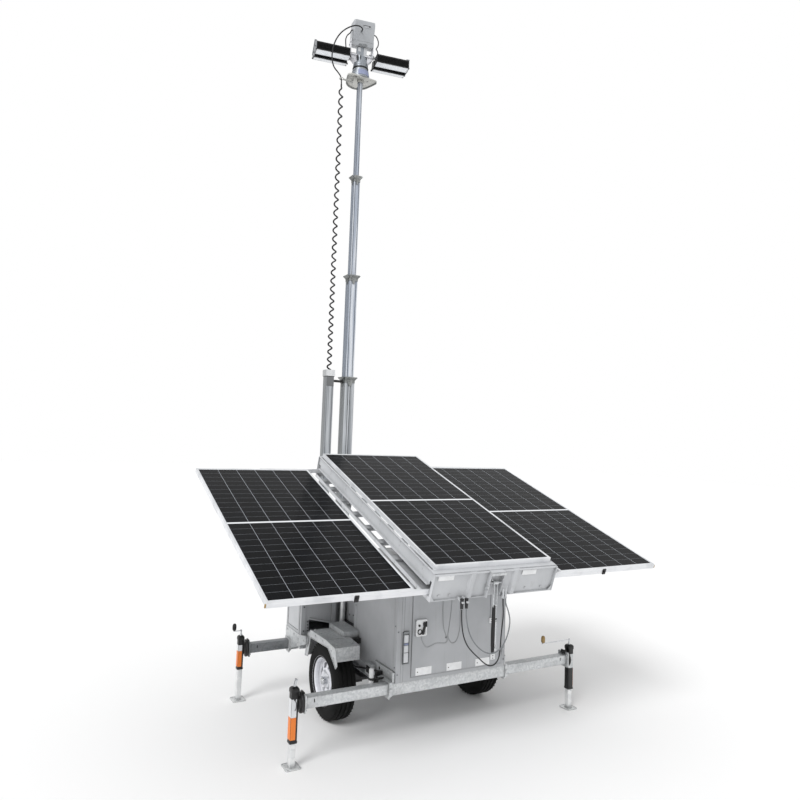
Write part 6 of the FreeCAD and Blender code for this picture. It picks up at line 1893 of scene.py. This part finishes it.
# %% Finishes of the CAD nodes
FINISHES = {
    "array_housing": PALE_PAINT, "head_plate": WHITE_PAINT, "head_yoke": WHITE_PAINT, "head_box": GREY_PAINT,
    "rear_cabinet": GREY_PAINT, "rear_door": GREY_PAINT, "bay_walls": GREY_PAINT, "front_box": GREY_PAINT,
    "fenders": GALVANISED, "chassis_frame": GALVANISED, "drawbar": GALVANISED, "coupler": GALVANISED,
    "tilt_brackets": GALVANISED, "axle": BLACK_PAINT, "leaf_springs": BLACK_PAINT,
    "battery_block": BATTERY_CASE, "mast_base": MAST_METAL, "mast_section_2": MAST_METAL,
    "mast_section_3": MAST_METAL, "mast_section_4": MAST_METAL, "cable_post": MAST_METAL,
    "left_runners": ALUMINIUM, "right_runners": ALUMINIUM, "centre_panel_frame": ALUMINIUM,
    "left_panel_frame": ALUMINIUM, "right_panel_frame": ALUMINIUM,
    "centre_panel_laminate": LAMINATE_CENTRE, "left_panel_laminate": LAMINATE_LEFT,
    "right_panel_laminate": LAMINATE_RIGHT,
    "tilt_ram_tubes": ZINC, "tilt_ram_rods": ZINC, "latch_strut": ZINC, "lamp_arm": ZINC,
    "tyre_left": TYRE, "tyre_right": TYRE, "wheel_left": WHITE_PAINT, "wheel_right": WHITE_PAINT,
    "lamps_left": BLACK_CASTING, "lamps_right": BLACK_CASTING, "curly_cord": BLACK_RUBBER,
}
for corner in CORNER_AT:
    FINISHES["outrigger_" + corner] = GALVANISED
    FINISHES["jack_" + corner] = BLACK_PAINT
    FINISHES["leg_" + corner] = ZINC
for node, material in FINISHES.items():
    mesh = bpy.data.objects[node].data
    mesh.materials.clear()
    mesh.materials.append(material)

# %% [markdown]
# Floor, light and sky: a white ground, an even white surround and one soft lamp from the left.

# %% Stage
FLOOR_HALF = 40


def make_floor():
    mesh = bpy.data.meshes.new("floor")
    h = FLOOR_HALF
    mesh.from_pydata([(-h, -h, 0), (h, -h, 0), (h, h, 0), (-h, h, 0)], [], [(0, 1, 2, 3)])
    floor = bpy.data.objects.new("floor", mesh)
    bpy.context.scene.collection.objects.link(floor)
    material, tree = new_material("floor_white")
    close_material(tree, {"Base Color": (0.93, 0.93, 0.93, 1), "Roughness": 0.9, "Specular IOR Level": 0})
    mesh.materials.append(material)
    return floor


def make_light():
    world = bpy.data.worlds.new("white_surround")
    bpy.context.scene.world = world
    world.use_nodes = True
    tree = world.node_tree
    tree.nodes.clear()
    path = add_node(tree, "ShaderNodeLightPath")
    seen = maths(tree, "MAXIMUM", path.outputs["Is Camera Ray"], path.outputs["Is Transmission Ray"])
    level = add_node(tree, "ShaderNodeMix", {0: seen, 2: 0.80, 3: 1}).outputs[0]
    surround = add_node(tree, "ShaderNodeBackground", {"Color": (1, 1, 1, 1), "Strength": level})
    add_node(tree, "ShaderNodeOutputWorld", {"Surface": surround.outputs[0]})
    sun = bpy.data.lights.new("soft_sun", "SUN")
    sun.energy = 1.6
    sun.angle = math.radians(25)
    lamp = bpy.data.objects.new("soft_sun", sun)
    lamp.rotation_euler = (math.radians(48), 0, math.radians(-62))
    bpy.context.scene.collection.objects.link(lamp)


make_floor()
make_light()
bpy.context.scene.view_settings.view_transform = "Standard"
